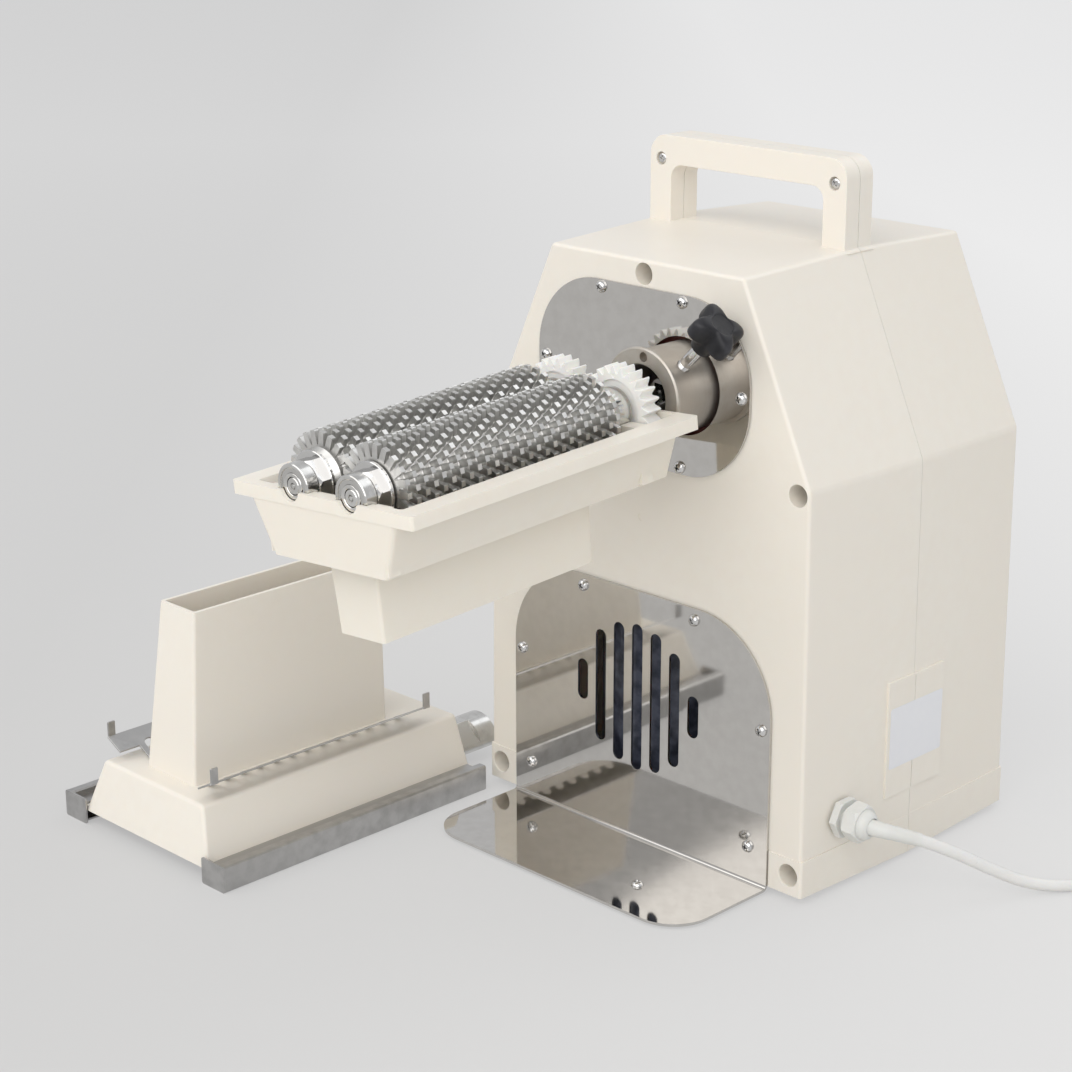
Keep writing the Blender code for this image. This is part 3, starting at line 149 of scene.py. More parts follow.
class Shape:
    """A closed mesh under construction, in millimetres of its sub-assembly's frame."""

    def __init__(self, name: str) -> None:
        """Start with an empty mesh.

        Args:
            name: Name of the piece.
        """
        self.name = name
        self.bm = bmesh.new()
        self.item: bpy.types.Object | None = None
        self.tools: list[Shape] = []

    def loft(self, rings: Sequence[Sequence[Sequence[float]]]) -> Shape:
        """Extrude a face through a run of rings that have the same number of points.

        Args:
            rings: The rings, in order; the first and the last one are closed.

        Returns:
            This shape.
        """
        face = self.bm.faces.new([self.bm.verts.new(point) for point in rings[0]])
        start = list(face.verts)
        order = {vert: index for index, vert in enumerate(start)}
        for points in rings[1:]:
            spots = {tuple(vert.co): index for vert, index in order.items()}
            ends = list(order)
            made = bmesh.ops.extrude_face_region(self.bm, geom=[face])["geom"]
            left = self.bm.faces.get(ends)
            if left and ends[0] is not start[0]:
                bmesh.ops.delete(self.bm, geom=[left], context="FACES_ONLY")
            face = next(item for item in made if isinstance(item, bmesh.types.BMFace))
            order = {vert: spots[tuple(vert.co)] for vert in face.verts}
            for vert, index in order.items():
                vert.co = points[index]
        if not self.bm.faces.get(start):
            self.bm.faces.new(start)
        return self

    def prism(self, outline: Sequence[Point2], axis: Axis, low: float, high: float) -> Shape:
        """Carry a flat outline along an axis."""
        return self.loft([[axis.lift(point, depth) for point in outline] for depth in (low, high)])

    def box(self, low: Point3, high: Point3) -> Shape:
        """A plain box between two corners.

        Args:
            low: Its lowest corner.
            high: Its highest corner.

        Returns:
            This shape.
        """
        size = Matrix.Diagonal((*(Vector(high) - Vector(low)), 1.0))
        bmesh.ops.create_cube(self.bm, size=1.0, matrix=Matrix.Translation((Vector(low) + Vector(high)) / 2) @ size)
        return self

    def soften(self, width: float, chosen: Callable[[Vector, Vector], bool], segments: int = 5) -> Shape:
        """Round chosen edges at once, before any other shape is cut or joined.

        Args:
            width: Width of the rounding.
            chosen: Says for an edge's two ends whether it is rounded.
            segments: Facets across it.

        Returns:
            This shape.
        """
        edges = [edge for edge in self.bm.edges if chosen(edge.verts[0].co, edge.verts[1].co)]
        bmesh.ops.bevel(
            self.bm, geom=edges, offset=width, segments=segments, profile=0.5, affect="EDGES", clamp_overlap=True,
            material=-1,
        )
        return self

    def lathe(
        self,
        profile: Sequence[Point2],
        centre: Sequence[float],
        axis: Sequence[float] = (0.0, 1.0, 0.0),
        steps: int = 64,
    ) -> Shape:
        """Spin a profile round an axis, its poles and its seam merged.

        Args:
            profile: Pairs of radius and height along the axis.
            centre: Where height 0 lies.
            axis: Direction of the axis.
            steps: Number of facets round it.

        Returns:
            This shape.
        """
        base = Vector(centre)
        along = Vector(axis).normalized()
        out = along.orthogonal().normalized()
        verts = [self.bm.verts.new(base + out * radius + along * height) for radius, height in profile]
        edges = [self.bm.edges.new(pair) for pair in zip(verts, verts[1:])]
        bmesh.ops.spin(
            self.bm, geom=verts + edges, cent=base, axis=along, dvec=(0, 0, 0), angle=2 * math.pi, steps=steps
        )
        bmesh.ops.remove_doubles(self.bm, verts=self.bm.verts[:], dist=0.0004)
        return self

    def tube(self, path: Sequence[Vector], radii: Sequence[float], sides: int = 20) -> Shape:
        """A round tube along a path, without twist.

        Args:
            path: Its centreline.
            radii: Its radius at each point of the path.
            sides: Number of facets round it.

        Returns:
            This shape.
        """
        across = (path[1] - path[0]).orthogonal().normalized()
        rings = []
        for index, point in enumerate(path):
            ahead = (path[min(index + 1, len(path) - 1)] - path[max(index - 1, 0)]).normalized()
            across = (across - ahead * across.dot(ahead)).normalized()
            other = ahead.cross(across)
            turns = [2 * math.pi * step / sides for step in range(sides)]
            rings.append(
                [point + (across * math.cos(turn) + other * math.sin(turn)) * radii[index] for turn in turns]
            )
        return self.loft(rings)

    def made(self) -> bpy.types.Object:
        """The object that carries this shape's modifiers.

        Returns:
            The object, made from the mesh on the first call.
        """
        if self.item is None:
            bmesh.ops.remove_doubles(self.bm, verts=self.bm.verts[:], dist=0.0002)
            bmesh.ops.recalc_face_normals(self.bm, faces=self.bm.faces[:])
            mesh = bpy.data.meshes.new(self.name)
            self.bm.to_mesh(mesh)
            self.bm.free()
            mesh.shade_smooth()
            self.item = bpy.data.objects.new(self.name + "_draft", mesh)
            bpy.context.scene.collection.objects.link(self.item)
        return self.item

    def _boolean(self, tool: Shape, operation: str) -> Shape:
        """Add a Boolean modifier with another shape.

        Args:
            tool: The other shape.
            operation: The modifier's operation.

        Returns:
            This shape.
        """
        step = self.made().modifiers.new(tool.name, "BOOLEAN")
        step.operation = operation
        step.solver = "EXACT"
        step.object = tool.made()
        self.tools.append(tool)
        return self

    def cut(self, tool: Shape) -> Shape:
        """Take another shape away."""
        return self._boolean(tool, "DIFFERENCE")

    def join(self, tool: Shape) -> Shape:
        """Add another shape."""
        return self._boolean(tool, "UNION")

    def keep(self, tool: Shape) -> Shape:
        """Keep only what lies inside another shape."""
        return self._boolean(tool, "INTERSECT")

    def round(self, width: float, segments: int = 2, angle: float = 40.0) -> Shape:
        """Round every edge sharper than an angle.

        Args:
            width: Width of the rounding.
            segments: Facets across it.
            angle: The least angle that is rounded, in degrees.

        Returns:
            This shape.
        """
        step = self.made().modifiers.new("Round", "BEVEL")
        step.width = width
        step.segments = segments
        step.limit_method = "ANGLE"
        step.angle_limit = math.radians(angle)
        step.use_clamp_overlap = True
        step.miter_outer = "MITER_ARC"
        return self

    def discard(self) -> None:
        """Remove the draft object and those of its tools."""
        for tool in self.tools:
            tool.discard()
        if self.item is not None:
            bpy.data.objects.remove(self.item, do_unlink=True)
            self.item = None

    def settle(
        self,
        look: Finish,
        stands_for: Iterable[str] = (),
        slot: str = "",
        body: str = "drive",
        place: Place = DRIVE,
        sharp: float = 38.0,
    ) -> bpy.types.Object:
        """Finish the shape: apply its steps and put it on a body.

        Args:
            look: Its finish.
            stands_for: The nodes that it is shown in place of.
            slot: The record's material slot that it belongs to; not used.
            body: The body that it rides.
            place: The frame that it was drawn in.
            sharp: Edges sharper than this many degrees stay crisp.

        Returns:
            The finished object.
        """
        draft = self.made()
        graph = bpy.context.evaluated_depsgraph_get()
        mesh = bpy.data.meshes.new_from_object(draft.evaluated_get(graph), depsgraph=graph)
        mesh.name = self.name
        mesh.materials.clear()
        mesh.materials.append(look.build())
        # Slivers that the steps leave would spoil the shading of the wide faces beside them.
        tidy = bmesh.new()
        tidy.from_mesh(mesh)
        bmesh.ops.dissolve_degenerate(tidy, dist=0.004, edges=tidy.edges[:])
        bmesh.ops.remove_doubles(tidy, verts=tidy.verts[:], dist=0.002)
        tidy.to_mesh(mesh)
        tidy.free()
        mesh.transform(place.matrix())
        mesh.shade_smooth()
        mesh.set_sharp_from_angle(angle=math.radians(sharp))
        self.discard()
        item = bpy.data.objects.new(self.name, mesh)
        bpy.context.scene.collection.objects.link(item)
        level = item.modifiers.new("Even_Shading", "WEIGHTED_NORMAL")
        level.keep_sharp = True
        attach(item, body)
        nodes = list(stands_for)
        if nodes:
            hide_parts(*nodes)
        LOG.info("%s: %d faces", self.name, len(mesh.polygons))
        return item


# ---------------------------------------------------------------- finishes


# How sharply a flat face bends, as the Pointiness output measures it.
FLAT_BEND = 0.505
DUST_COLOUR = (0.78, 0.76, 0.72, 1.0)


class Graph:
    """Adds nodes to a shader tree and links them."""

    def __init__(self, tree: bpy.types.NodeTree) -> None:
        """Work on a tree."""
        self.tree = tree

    def add(self, kind: str, inputs: dict[str | int, object] | None = None, **settings: object) -> bpy.types.Node:
        """Add one node.

        Args:
            kind: The node's type name.
            inputs: Its inputs: each one a value, or the output socket that feeds it.
            **settings: Attributes to set on it.

        Returns:
            The new node.
        """
        node = self.tree.nodes.new(kind)
        for name, value in settings.items():
            setattr(node, name, value)
        for name, value in (inputs or {}).items():
            if isinstance(value, bpy.types.NodeSocket):
                self.tree.links.new(value, node.inputs[name])
            else:
                node.inputs[name].default_value = value
        return node

    def math(self, operation: str, *values: object, clamp: bool = False) -> bpy.types.NodeSocket:
        """Add a math node."""
        node = self.add("ShaderNodeMath", dict(enumerate(values)), operation=operation, use_clamp=clamp)
        return node.outputs[0]

    def vector(self, operation: str, *values: object) -> bpy.types.Node:
        """Add a vector math node with these inputs, in order."""
        return self.add("ShaderNodeVectorMath", dict(enumerate(values)), operation=operation)

    def noise(self, spot: object, scale: object, detail: float, **inputs: float) -> bpy.types.NodeSocket:
        """Add a noise texture at a place and give its value."""
        inputs |= {"Vector": spot, "Scale": scale, "Detail": detail}
        return self.add("ShaderNodeTexNoise", inputs).outputs[0]

    def spot(self) -> bpy.types.NodeSocket:
        """Add the coordinates of the object."""
        return self.add("ShaderNodeTexCoord").outputs["Object"]

    def span(self, value: object, low: object, high: object, start: float = 0.0, end: float = 1.0) -> object:
        """Map a range of values on another one, clamped."""
        inputs = {"Value": value, "From Min": low, "From Max": high, "To Min": start, "To Max": end}
        return self.add("ShaderNodeMapRange", inputs).outputs["Result"]

    def mix(self, factor: object, first: object, second: object) -> bpy.types.NodeSocket:
        """Mix two colours."""
        node = self.add("ShaderNodeMix", {0: factor, 6: first, 7: second}, data_type="RGBA")
        return node.outputs[2]


@dataclass(frozen=True)
class Effect:
    """A shared shader node group with named sockets.

    Attributes:
        name: Its name.
        inputs: Its inputs, with their defaults.
        fill: Adds its nodes to a graph, given its inputs, and returns its outputs by name.
    """

    name: str
    inputs: dict[str, float | Point3]
    fill: Callable[[Graph, Sockets], Results]

    def _tree(self) -> bpy.types.NodeTree:
        """The node group, made on the first call.

        Returns:
            The group.
        """
        found = bpy.data.node_groups.get(self.name)
        if found:
            return found
        tree = bpy.data.node_groups.new(self.name, "ShaderNodeTree")
        for label, value in self.inputs.items():
            kind = "NodeSocketVector" if isinstance(value, tuple) else "NodeSocketFloat"
            tree.interface.new_socket(label, in_out="INPUT", socket_type=kind).default_value = value
        graph = Graph(tree)
        results = self.fill(graph, graph.add("NodeGroupInput").outputs)
        for label in results:
            tree.interface.new_socket(label, in_out="OUTPUT", socket_type="NodeSocketFloat")
        target = graph.add("NodeGroupOutput")
        for label, socket in results.items():
            tree.links.new(socket, target.inputs[label])
        return tree

    def place(self, graph: Graph, **values: float | Point3) -> Sockets:
        """Place the group in a material, with chosen input values, and give its outputs."""
        return graph.add("ShaderNodeGroup", values, node_tree=self._tree()).outputs


def mottle(graph: Graph, given: Sockets) -> Results:
    """Slow, cloudy change of tone with a fine grain on it.

    Args:
        graph: The group's graph.
        given: Scale, Fine and Seed.

    Returns:
        Tone and Height.
    """
    shift = graph.vector("ADD", graph.spot(), given["Seed"]).outputs[0]
    slow = graph.noise(shift, given["Scale"], 4.0, Roughness=0.55)
    fine = graph.noise(shift, given["Fine"], 3.0, Roughness=0.6)
    cells = graph.add("ShaderNodeTexVoronoi", {"Vector": shift, "Scale": given["Fine"]}).outputs["Distance"]
    return {"Tone": slow, "Height": graph.math("ADD", fine, graph.math("MULTIPLY", cells, 0.25))}


def rubbed_edge(graph: Graph, given: Sockets) -> Results:
    """Mask of outer edges that handling has rubbed, broken up.

    Args:
        graph: The group's graph.
        given: Reach and Break.

    Returns:
        Mask.
    """
    bend = graph.add("ShaderNodeNewGeometry").outputs["Pointiness"]
    edge = graph.span(bend, FLAT_BEND, graph.math("ADD", given["Reach"], FLAT_BEND))
    worn = graph.span(graph.noise(graph.spot(), given["Break"], 5.0), 0.35, 0.62)
    return {"Mask": graph.math("MULTIPLY", edge, worn, clamp=True)}


def settled_dust(graph: Graph, given: Sockets) -> Results:
    """Mask of faint dust on what faces up.

    Args:
        graph: The group's graph.
        given: Cover and Scale.

    Returns:
        Mask.
    """
    facing = graph.add("ShaderNodeNewGeometry").outputs["Normal"]
    up = graph.add("ShaderNodeSeparateXYZ", {0: facing}).outputs["Z"]
    cloud = graph.noise(graph.spot(), given["Scale"], 6.0)
    lying = graph.math("MULTIPLY", graph.span(up, 0.35, 1.0), graph.span(cloud, 0.38, 0.75))
    return {"Mask": graph.math("MULTIPLY", lying, given["Cover"])}


def brushed_lines(graph: Graph, given: Sockets) -> Results:
    """Fine drawn lines along one direction.

    Args:
        graph: The group's graph.
        given: Stretch.

    Returns:
        Tone and Height.
    """
    drawn = graph.vector("MULTIPLY", graph.spot(), given["Stretch"]).outputs[0]
    fine = graph.noise(drawn, 1.0, 5.0, Roughness=0.7)
    broad = graph.noise(drawn, 0.17, 2.0)
    return {"Tone": graph.math("MULTIPLY_ADD", fine, 0.5, graph.math("MULTIPLY", broad, 0.5)), "Height": fine}


def turned_lines(graph: Graph, given: Sockets) -> Results:
    """Tool marks of a lathe round an axis, on its faces and on its sides.

    Args:
        graph: The group's graph.
        given: Centre, Axis and Pitch.

    Returns:
        Tone and Height.
    """
    arm = graph.vector("SUBTRACT", graph.spot(), given["Centre"]).outputs[0]
    along = graph.vector("DOT_PRODUCT", arm, given["Axis"]).outputs["Value"]
    cross = graph.vector("CROSS_PRODUCT", arm, given["Axis"]).outputs[0]
    radius = graph.vector("LENGTH", cross).outputs["Value"]
    count = graph.math("DIVIDE", graph.math("MULTIPLY_ADD", radius, 1.31, along), given["Pitch"])
    fine, broad = (
        graph.add("ShaderNodeTexNoise", {"W": place, "Detail": detail}, noise_dimensions="1D").outputs[0]
        for place, detail in ((count, 3.0), (graph.math("MULTIPLY", count, 0.13), 1.0))
    )
    return {"Tone": graph.math("MULTIPLY_ADD", fine, 0.55, graph.math("MULTIPLY", broad, 0.45)), "Height": fine}


def hand_smudge(graph: Graph, given: Sockets) -> Results:
    """Patches where polish is dulled by handling, with a few fine scratches.

    Args:
        graph: The group's graph.
        given: Scale.

    Returns:
        Mask and Scratch.
    """
    spot = graph.spot()
    cloud = graph.noise(spot, given["Scale"], 7.0, Distortion=0.9)
    turn = graph.add("ShaderNodeVectorRotate", {"Vector": spot, "Angle": 0.7}, rotation_type="Y_AXIS")
    drawn = graph.vector("MULTIPLY", turn.outputs[0], (30.0, 900.0, 1400.0)).outputs[0]
    lines = graph.noise(drawn, 1.0, 1.0)
    return {"Mask": graph.span(cloud, 0.46, 0.78), "Scratch": graph.span(lines, 0.72, 0.80)}


ORIGIN = (0.0, 0.0, 0.0)
MOTTLE = Effect("Mottle", {"Scale": 9.0, "Fine": 900.0, "Seed": ORIGIN}, mottle)
RUBBED_EDGE = Effect("Rubbed_Edge", {"Reach": 0.05, "Break": 120.0}, rubbed_edge)
SETTLED_DUST = Effect("Settled_Dust", {"Cover": 0.2, "Scale": 60.0}, settled_dust)
BRUSHED_LINES = Effect("Brushed_Lines", {"Stretch": (40.0, 2500.0, 2500.0)}, brushed_lines)
TURNED_LINES = Effect("Turned_Lines", {"Centre": ORIGIN, "Axis": (0.0, 1.0, 0.0), "Pitch": 0.0004}, turned_lines)
HAND_SMUDGE = Effect("Hand_Smudge", {"Scale": 26.0}, hand_smudge)


class Pattern(Enum):
    """What the fine relief of a finish looks like."""

    MOTTLED = "mottled"
    BRUSHED = "brushed"
    TURNED = "turned"


@dataclass(frozen=True)
class Finish:
    """A procedural material.

    Attributes:
        name: Its name.
        base: Main colour.
        deep: Colour that its tone drifts towards.
        metallic: 1 for metal.
        roughness: Mean roughness.
        spread: How far its tone moves the roughness.
        drift: How far its tone moves the colour.
        relief: Depth of its fine relief, in metres.
        pattern: Shape of the relief.
        scale: Scale of the slow mottle.
        fine: Scale of the fine grain.
        stretch: Scale along X, Y and Z of brushed lines.
        centre: Point on the axis of turned lines.
        axis: Direction of that axis.
        pitch: Distance between turned lines.
        worn: Colour of rubbed edges.
        wear: Strength of rubbed edges.
        dust: Strength of settled dust.
        smudge: Strength of dull patches.
        coat: Weight of a clear coat.
        depth: Weight of light that scatters under the surface.
        shine: Strength of the reflection of a plastic, 0.5 for a common one.
    """

    name: str
    base: Colour
    deep: Colour
    metallic: float = 0.0
    roughness: float = 0.4
    spread: float = 0.08
    drift: float = 0.5
    relief: float = 0.00002
    pattern: Pattern = Pattern.MOTTLED
    scale: float = 9.0
    fine: float = 900.0
    stretch: Point3 = (40.0, 2500.0, 2500.0)
    centre: Point3 = (0.0, 0.0, 0.0)
    axis: Point3 = (0.0, 1.0, 0.0)
    pitch: float = 0.0004
    worn: Colour = (0.9, 0.9, 0.9)
    wear: float = 0.25
    dust: float = 0.1
    smudge: float = 0.2
    coat: float = 0.0
    depth: float = 0.0
    shine: float = 0.5

    def _relief(self, graph: Graph) -> Sockets:
        """Place the pattern.

        Args:
            graph: The material's graph.

        Returns:
            Its outputs, with the tone and the height.
        """
        if self.pattern is Pattern.BRUSHED:
            return BRUSHED_LINES.place(graph, Stretch=self.stretch)
        if self.pattern is Pattern.TURNED:
            axis = Vector(self.axis).normalized()
            return TURNED_LINES.place(graph, Centre=self.centre, Axis=axis, Pitch=self.pitch)
        seed = (len(self.name) * 0.37, self.roughness, self.scale * 0.01)
        return MOTTLE.place(graph, Scale=self.scale, Fine=self.fine, Seed=seed)

    def build(self) -> bpy.types.Material:
        """The material, made once.

        Returns:
            The material.
        """
        found = bpy.data.materials.get(self.name)
        if found:
            return found
        look = bpy.data.materials.new(self.name)
        look.use_nodes = True
        shader = look.node_tree.nodes["Principled BSDF"]
        graph = Graph(look.node_tree)
        relief = self._relief(graph)
        tone = relief["Tone"]
        dusty = SETTLED_DUST.place(graph, Cover=self.dust)["Mask"]
        smear = HAND_SMUDGE.place(graph)
        rubbed = graph.math("MULTIPLY", RUBBED_EDGE.place(graph)["Mask"], self.wear)
        colour = graph.mix(graph.math("MULTIPLY", tone, self.drift), (*self.base, 1.0), (*self.deep, 1.0))
        colour = graph.mix(rubbed, colour, (*self.worn, 1.0))
        colour = graph.mix(dusty, colour, DUST_COLOUR)
        rough = graph.math("MULTIPLY_ADD", graph.math("SUBTRACT", tone, 0.5), self.spread * 2, self.roughness)
        rough = graph.math("MULTIPLY_ADD", smear["Mask"], self.smudge * 0.3, rough)
        rough = graph.math("MULTIPLY_ADD", smear["Scratch"], self.smudge * 0.2, rough)
        rough = graph.math("MULTIPLY_ADD", dusty, 0.4, rough, clamp=True)
        bump = graph.add("ShaderNodeBump", {"Height": relief["Height"], "Distance": self.relief, "Strength": 0.6})
        links = look.node_tree.links
        links.new(colour, shader.inputs["Base Color"])
        links.new(rough, shader.inputs["Roughness"])
        links.new(bump.outputs[0], shader.inputs["Normal"])
        values = {
            "Metallic": self.metallic, "Specular IOR Level": self.shine, "Coat Weight": self.coat,
            "Coat Roughness": 0.18,
        }
        if self.depth:
            values |= {
                "Subsurface Weight": self.depth, "Subsurface Radius": (1.0, 0.7, 0.45), "Subsurface Scale": 0.004,
            }
        for label, value in values.items():
            shader.inputs[label].default_value = value
        return look


class Palette:
    """Every finish that the tenderiser is made of."""

    cream = Finish(
        "Cream_Moulding", (0.84, 0.795, 0.72), (0.82, 0.77, 0.685), roughness=0.36, spread=0.04, drift=0.5,
        relief=0.00001, scale=7.0, fine=1500.0, worn=(0.86, 0.83, 0.76), wear=0.3, dust=0.05, smudge=0.25, depth=0.1,
    )
    warm_cream = Finish(
        "Warm_Cream_Moulding", (0.85, 0.805, 0.72), (0.82, 0.765, 0.67), roughness=0.34, spread=0.05, drift=0.5,
        relief=0.00001, scale=12.0, fine=1300.0, worn=(0.86, 0.83, 0.76), wear=0.3, dust=0.06, smudge=0.3, depth=0.12,
    )
    mirror = Finish(
        "Mirror_Plate", (0.60, 0.585, 0.565), (0.56, 0.545, 0.52), 1.0, 0.045, 0.02, 0.6, 0.0000012,
        scale=5.0, fine=260.0, worn=(0.78, 0.77, 0.75), wear=0.2, dust=0.03, smudge=0.05,
    )
    satin = Finish(
        "Satin_Strip", (0.44, 0.435, 0.43), (0.36, 0.355, 0.35), 1.0, 0.32, 0.02, 0.3, 0.000003,
        Pattern.BRUSHED, stretch=(2200.0, 35.0, 2200.0), worn=(0.78, 0.78, 0.77), wear=0.25, dust=0.03, smudge=0.02,
    )
    blade = Finish(
        "Blade_Steel", (0.66, 0.655, 0.64), (0.54, 0.53, 0.515), 1.0, 0.33, 0.06, 0.7, 0.00001,
        scale=90.0, fine=2500.0, worn=(0.85, 0.85, 0.83), wear=0.6, dust=0.02, smudge=0.3,
    )
    chrome = Finish(
        "Bright_Steel", (0.66, 0.655, 0.65), (0.56, 0.555, 0.545), 1.0, 0.10, 0.05, 0.5, 0.000004,
        scale=60.0, fine=1800.0, worn=(0.85, 0.85, 0.85), wear=0.4, dust=0.02, smudge=0.3,
    )
    nickel = Finish(
        "Socket_Steel", (0.56, 0.515, 0.46), (0.47, 0.43, 0.38), 1.0, 0.48, 0.08, 0.7, 0.00001,
        Pattern.TURNED, centre=DRIVEN_SPOT, pitch=0.0005, worn=(0.62, 0.60, 0.56), wear=0.6,
        dust=0.04, smudge=0.5,
    )
    nylon = Finish(
        "White_Nylon", (0.90, 0.895, 0.87), (0.84, 0.83, 0.79), roughness=0.46, spread=0.08, drift=0.5,
        relief=0.00003, scale=45.0, fine=1400.0, worn=(0.94, 0.94, 0.93), wear=0.3, dust=0.03, depth=0.25,
    )
    black = Finish(
        "Black_Grip", (0.012, 0.012, 0.014), (0.026, 0.026, 0.03), roughness=0.34, spread=0.14, drift=0.5,
        relief=0.00012, scale=70.0, fine=420.0, worn=(0.07, 0.07, 0.08), wear=0.5, dust=0.01, smudge=0.3, shine=0.28,
    )
    rubber = Finish(
        "Foot_Rubber", (0.03, 0.03, 0.03), (0.055, 0.055, 0.055), roughness=0.75, relief=0.00004,
        scale=90.0, fine=1500.0, worn=(0.12, 0.12, 0.12), dust=0.2,
    )
    gland = Finish(
        "Gland_Nylon", (0.72, 0.725, 0.70), (0.64, 0.645, 0.62), roughness=0.42, relief=0.00002, scale=60.0,
        fine=1500.0, worn=(0.82, 0.82, 0.80), wear=0.3, dust=0.05, depth=0.1,
    )
    lead = Finish(
        "Lead_Sheath", (0.76, 0.76, 0.745), (0.72, 0.715, 0.70), roughness=0.30, relief=0.00002, scale=40.0,
        fine=1200.0, worn=(0.92, 0.92, 0.92), wear=0.2, dust=0.06, coat=0.2, depth=0.1,
    )
    label = Finish(
        "Blank_Label", (0.80, 0.81, 0.845), (0.765, 0.775, 0.81), roughness=0.32, relief=0.000004, scale=30.0,
        fine=2000.0, worn=(0.9, 0.9, 0.9), wear=0.1, dust=0.03, coat=0.3,
    )
    oxide = Finish(
        "Red_Oxide_Casting", (0.085, 0.012, 0.010), (0.05, 0.008, 0.007), roughness=0.5, relief=0.00015,
        scale=40.0, fine=500.0, worn=(0.2, 0.05, 0.04), wear=0.4, dust=0.0,
    )
    bronze = Finish(
        "Wheel_Bronze", (0.55, 0.36, 0.15), (0.42, 0.26, 0.10), 1.0, 0.34, 0.1, 0.6, 0.00002,
        Pattern.TURNED, centre=DRIVEN_SPOT, worn=(0.75, 0.58, 0.3), wear=0.5,
    )
    enamel = Finish(
        "Motor_Enamel", (0.025, 0.03, 0.05), (0.015, 0.02, 0.035), roughness=0.4, relief=0.00006, scale=30.0,
        fine=600.0, worn=(0.2, 0.22, 0.3), wear=0.4, coat=0.3, dust=0.1,
    )
    white = Finish(
        "Switch_Legend", (0.82, 0.82, 0.80), (0.75, 0.75, 0.73), roughness=0.4, scale=80.0, wear=0.1, dust=0.0,
    )

    @classmethod
    def turned(cls, name: str, place: Place, centre: Point3, pitch: float = 0.0003) -> Finish:
        """Bright turned steel with its lathe marks round a tray axis.

        Args:
            name: Name of the finish.
            place: The frame that the centre is given in.
            centre: A point on the axis.
            pitch: Distance between tool marks, in metres.

        Returns:
            The finish.
        """
        axis = (place.matrix().to_3x3() @ Vector((0.0, 1.0, 0.0))).normalized()
        return Finish(
            name, (0.62, 0.615, 0.60), (0.50, 0.49, 0.47), 1.0, 0.16, 0.08, 0.6, 0.000006, Pattern.TURNED,
            centre=tuple(place.point(centre)), axis=tuple(axis), pitch=pitch, worn=(0.85, 0.85, 0.84), wear=0.5,
            dust=0.02, smudge=0.3,
        )


def box_ring(middle: float, half: float, front: float, back: float, level: float) -> list[Point3]:
    """Corners of a level rectangle."""
    low, high = middle - half, middle + half
    return [(low, front, level), (high, front, level), (high, back, level), (low, back, level)]


@dataclass
class Screw:
    """Pan-head machine screw with a cross recess.

    Attributes:
        head: Radius of the head.
        height: Height of the head.
    """

    head: float = 4.0
    height: float = 2.9

    def _recess(self, tools: Shape, at: Vector, out: Vector, turn: float) -> None:
        """Add the tapered cross that is cut from a head.

        Args:
            tools: The shape that holds every cross.
            at: Middle of the head's seat.
            out: Direction that the head faces.
            turn: Turn of the cross, in degrees.
        """
        side = out.orthogonal().normalized()
        other = out.cross(side)
        rings = []
        for depth, arm, half in ((1.2, 2.5, 0.62), (0.35, 1.3, 0.34)):
            cross = [(arm, -half), (arm, half), (half, half), (half, arm), (-half, arm), (-half, half)]
            cross += [(-along, -up) for along, up in cross]
            swing = Matrix.Rotation(math.radians(turn), 2)
            flat = [swing @ Vector(point) for point in cross]
            rings.append([at + out * self.height * depth + side * point.x + other * point.y for point in flat])
        tools.loft(rings)

    def group(
        self, name: str, spots: Sequence[Point3], out: Point3, nodes: Sequence[str], body: str = "drive"
    ) -> None:
        """Set a group of like screws.

        Args:
            name: Name of the piece.
            spots: Seat of each head.
            out: Direction that the heads face.
            nodes: The nodes that the group stands for.
            body: The body that it rides.
        """
        heads, tools = Shape(name), Shape(name + "_cross")
        rise = [(0.0, 1.0), (0.22, 0.985), (0.45, 0.93), (0.68, 0.80), (0.86, 0.58), (0.97, 0.30), (1.0, 0.12)]
        profile = [(self.head * reach, self.height * level) for reach, level in rise]
        profile += [(self.head * 0.98, 0.0), (1.8, 0.0), (1.8, -2.0), (0.0, -2.0)]
        for index, spot in enumerate(spots):
            heads.lathe(profile, spot, out, 40)
            self._recess(tools, Vector(spot), Vector(out), 17.0 + 67.0 * index)
        heads.cut(tools).round(0.08, 1, 50)
        heads.settle(Palette.chrome, nodes, "stainless_steel", body=body)


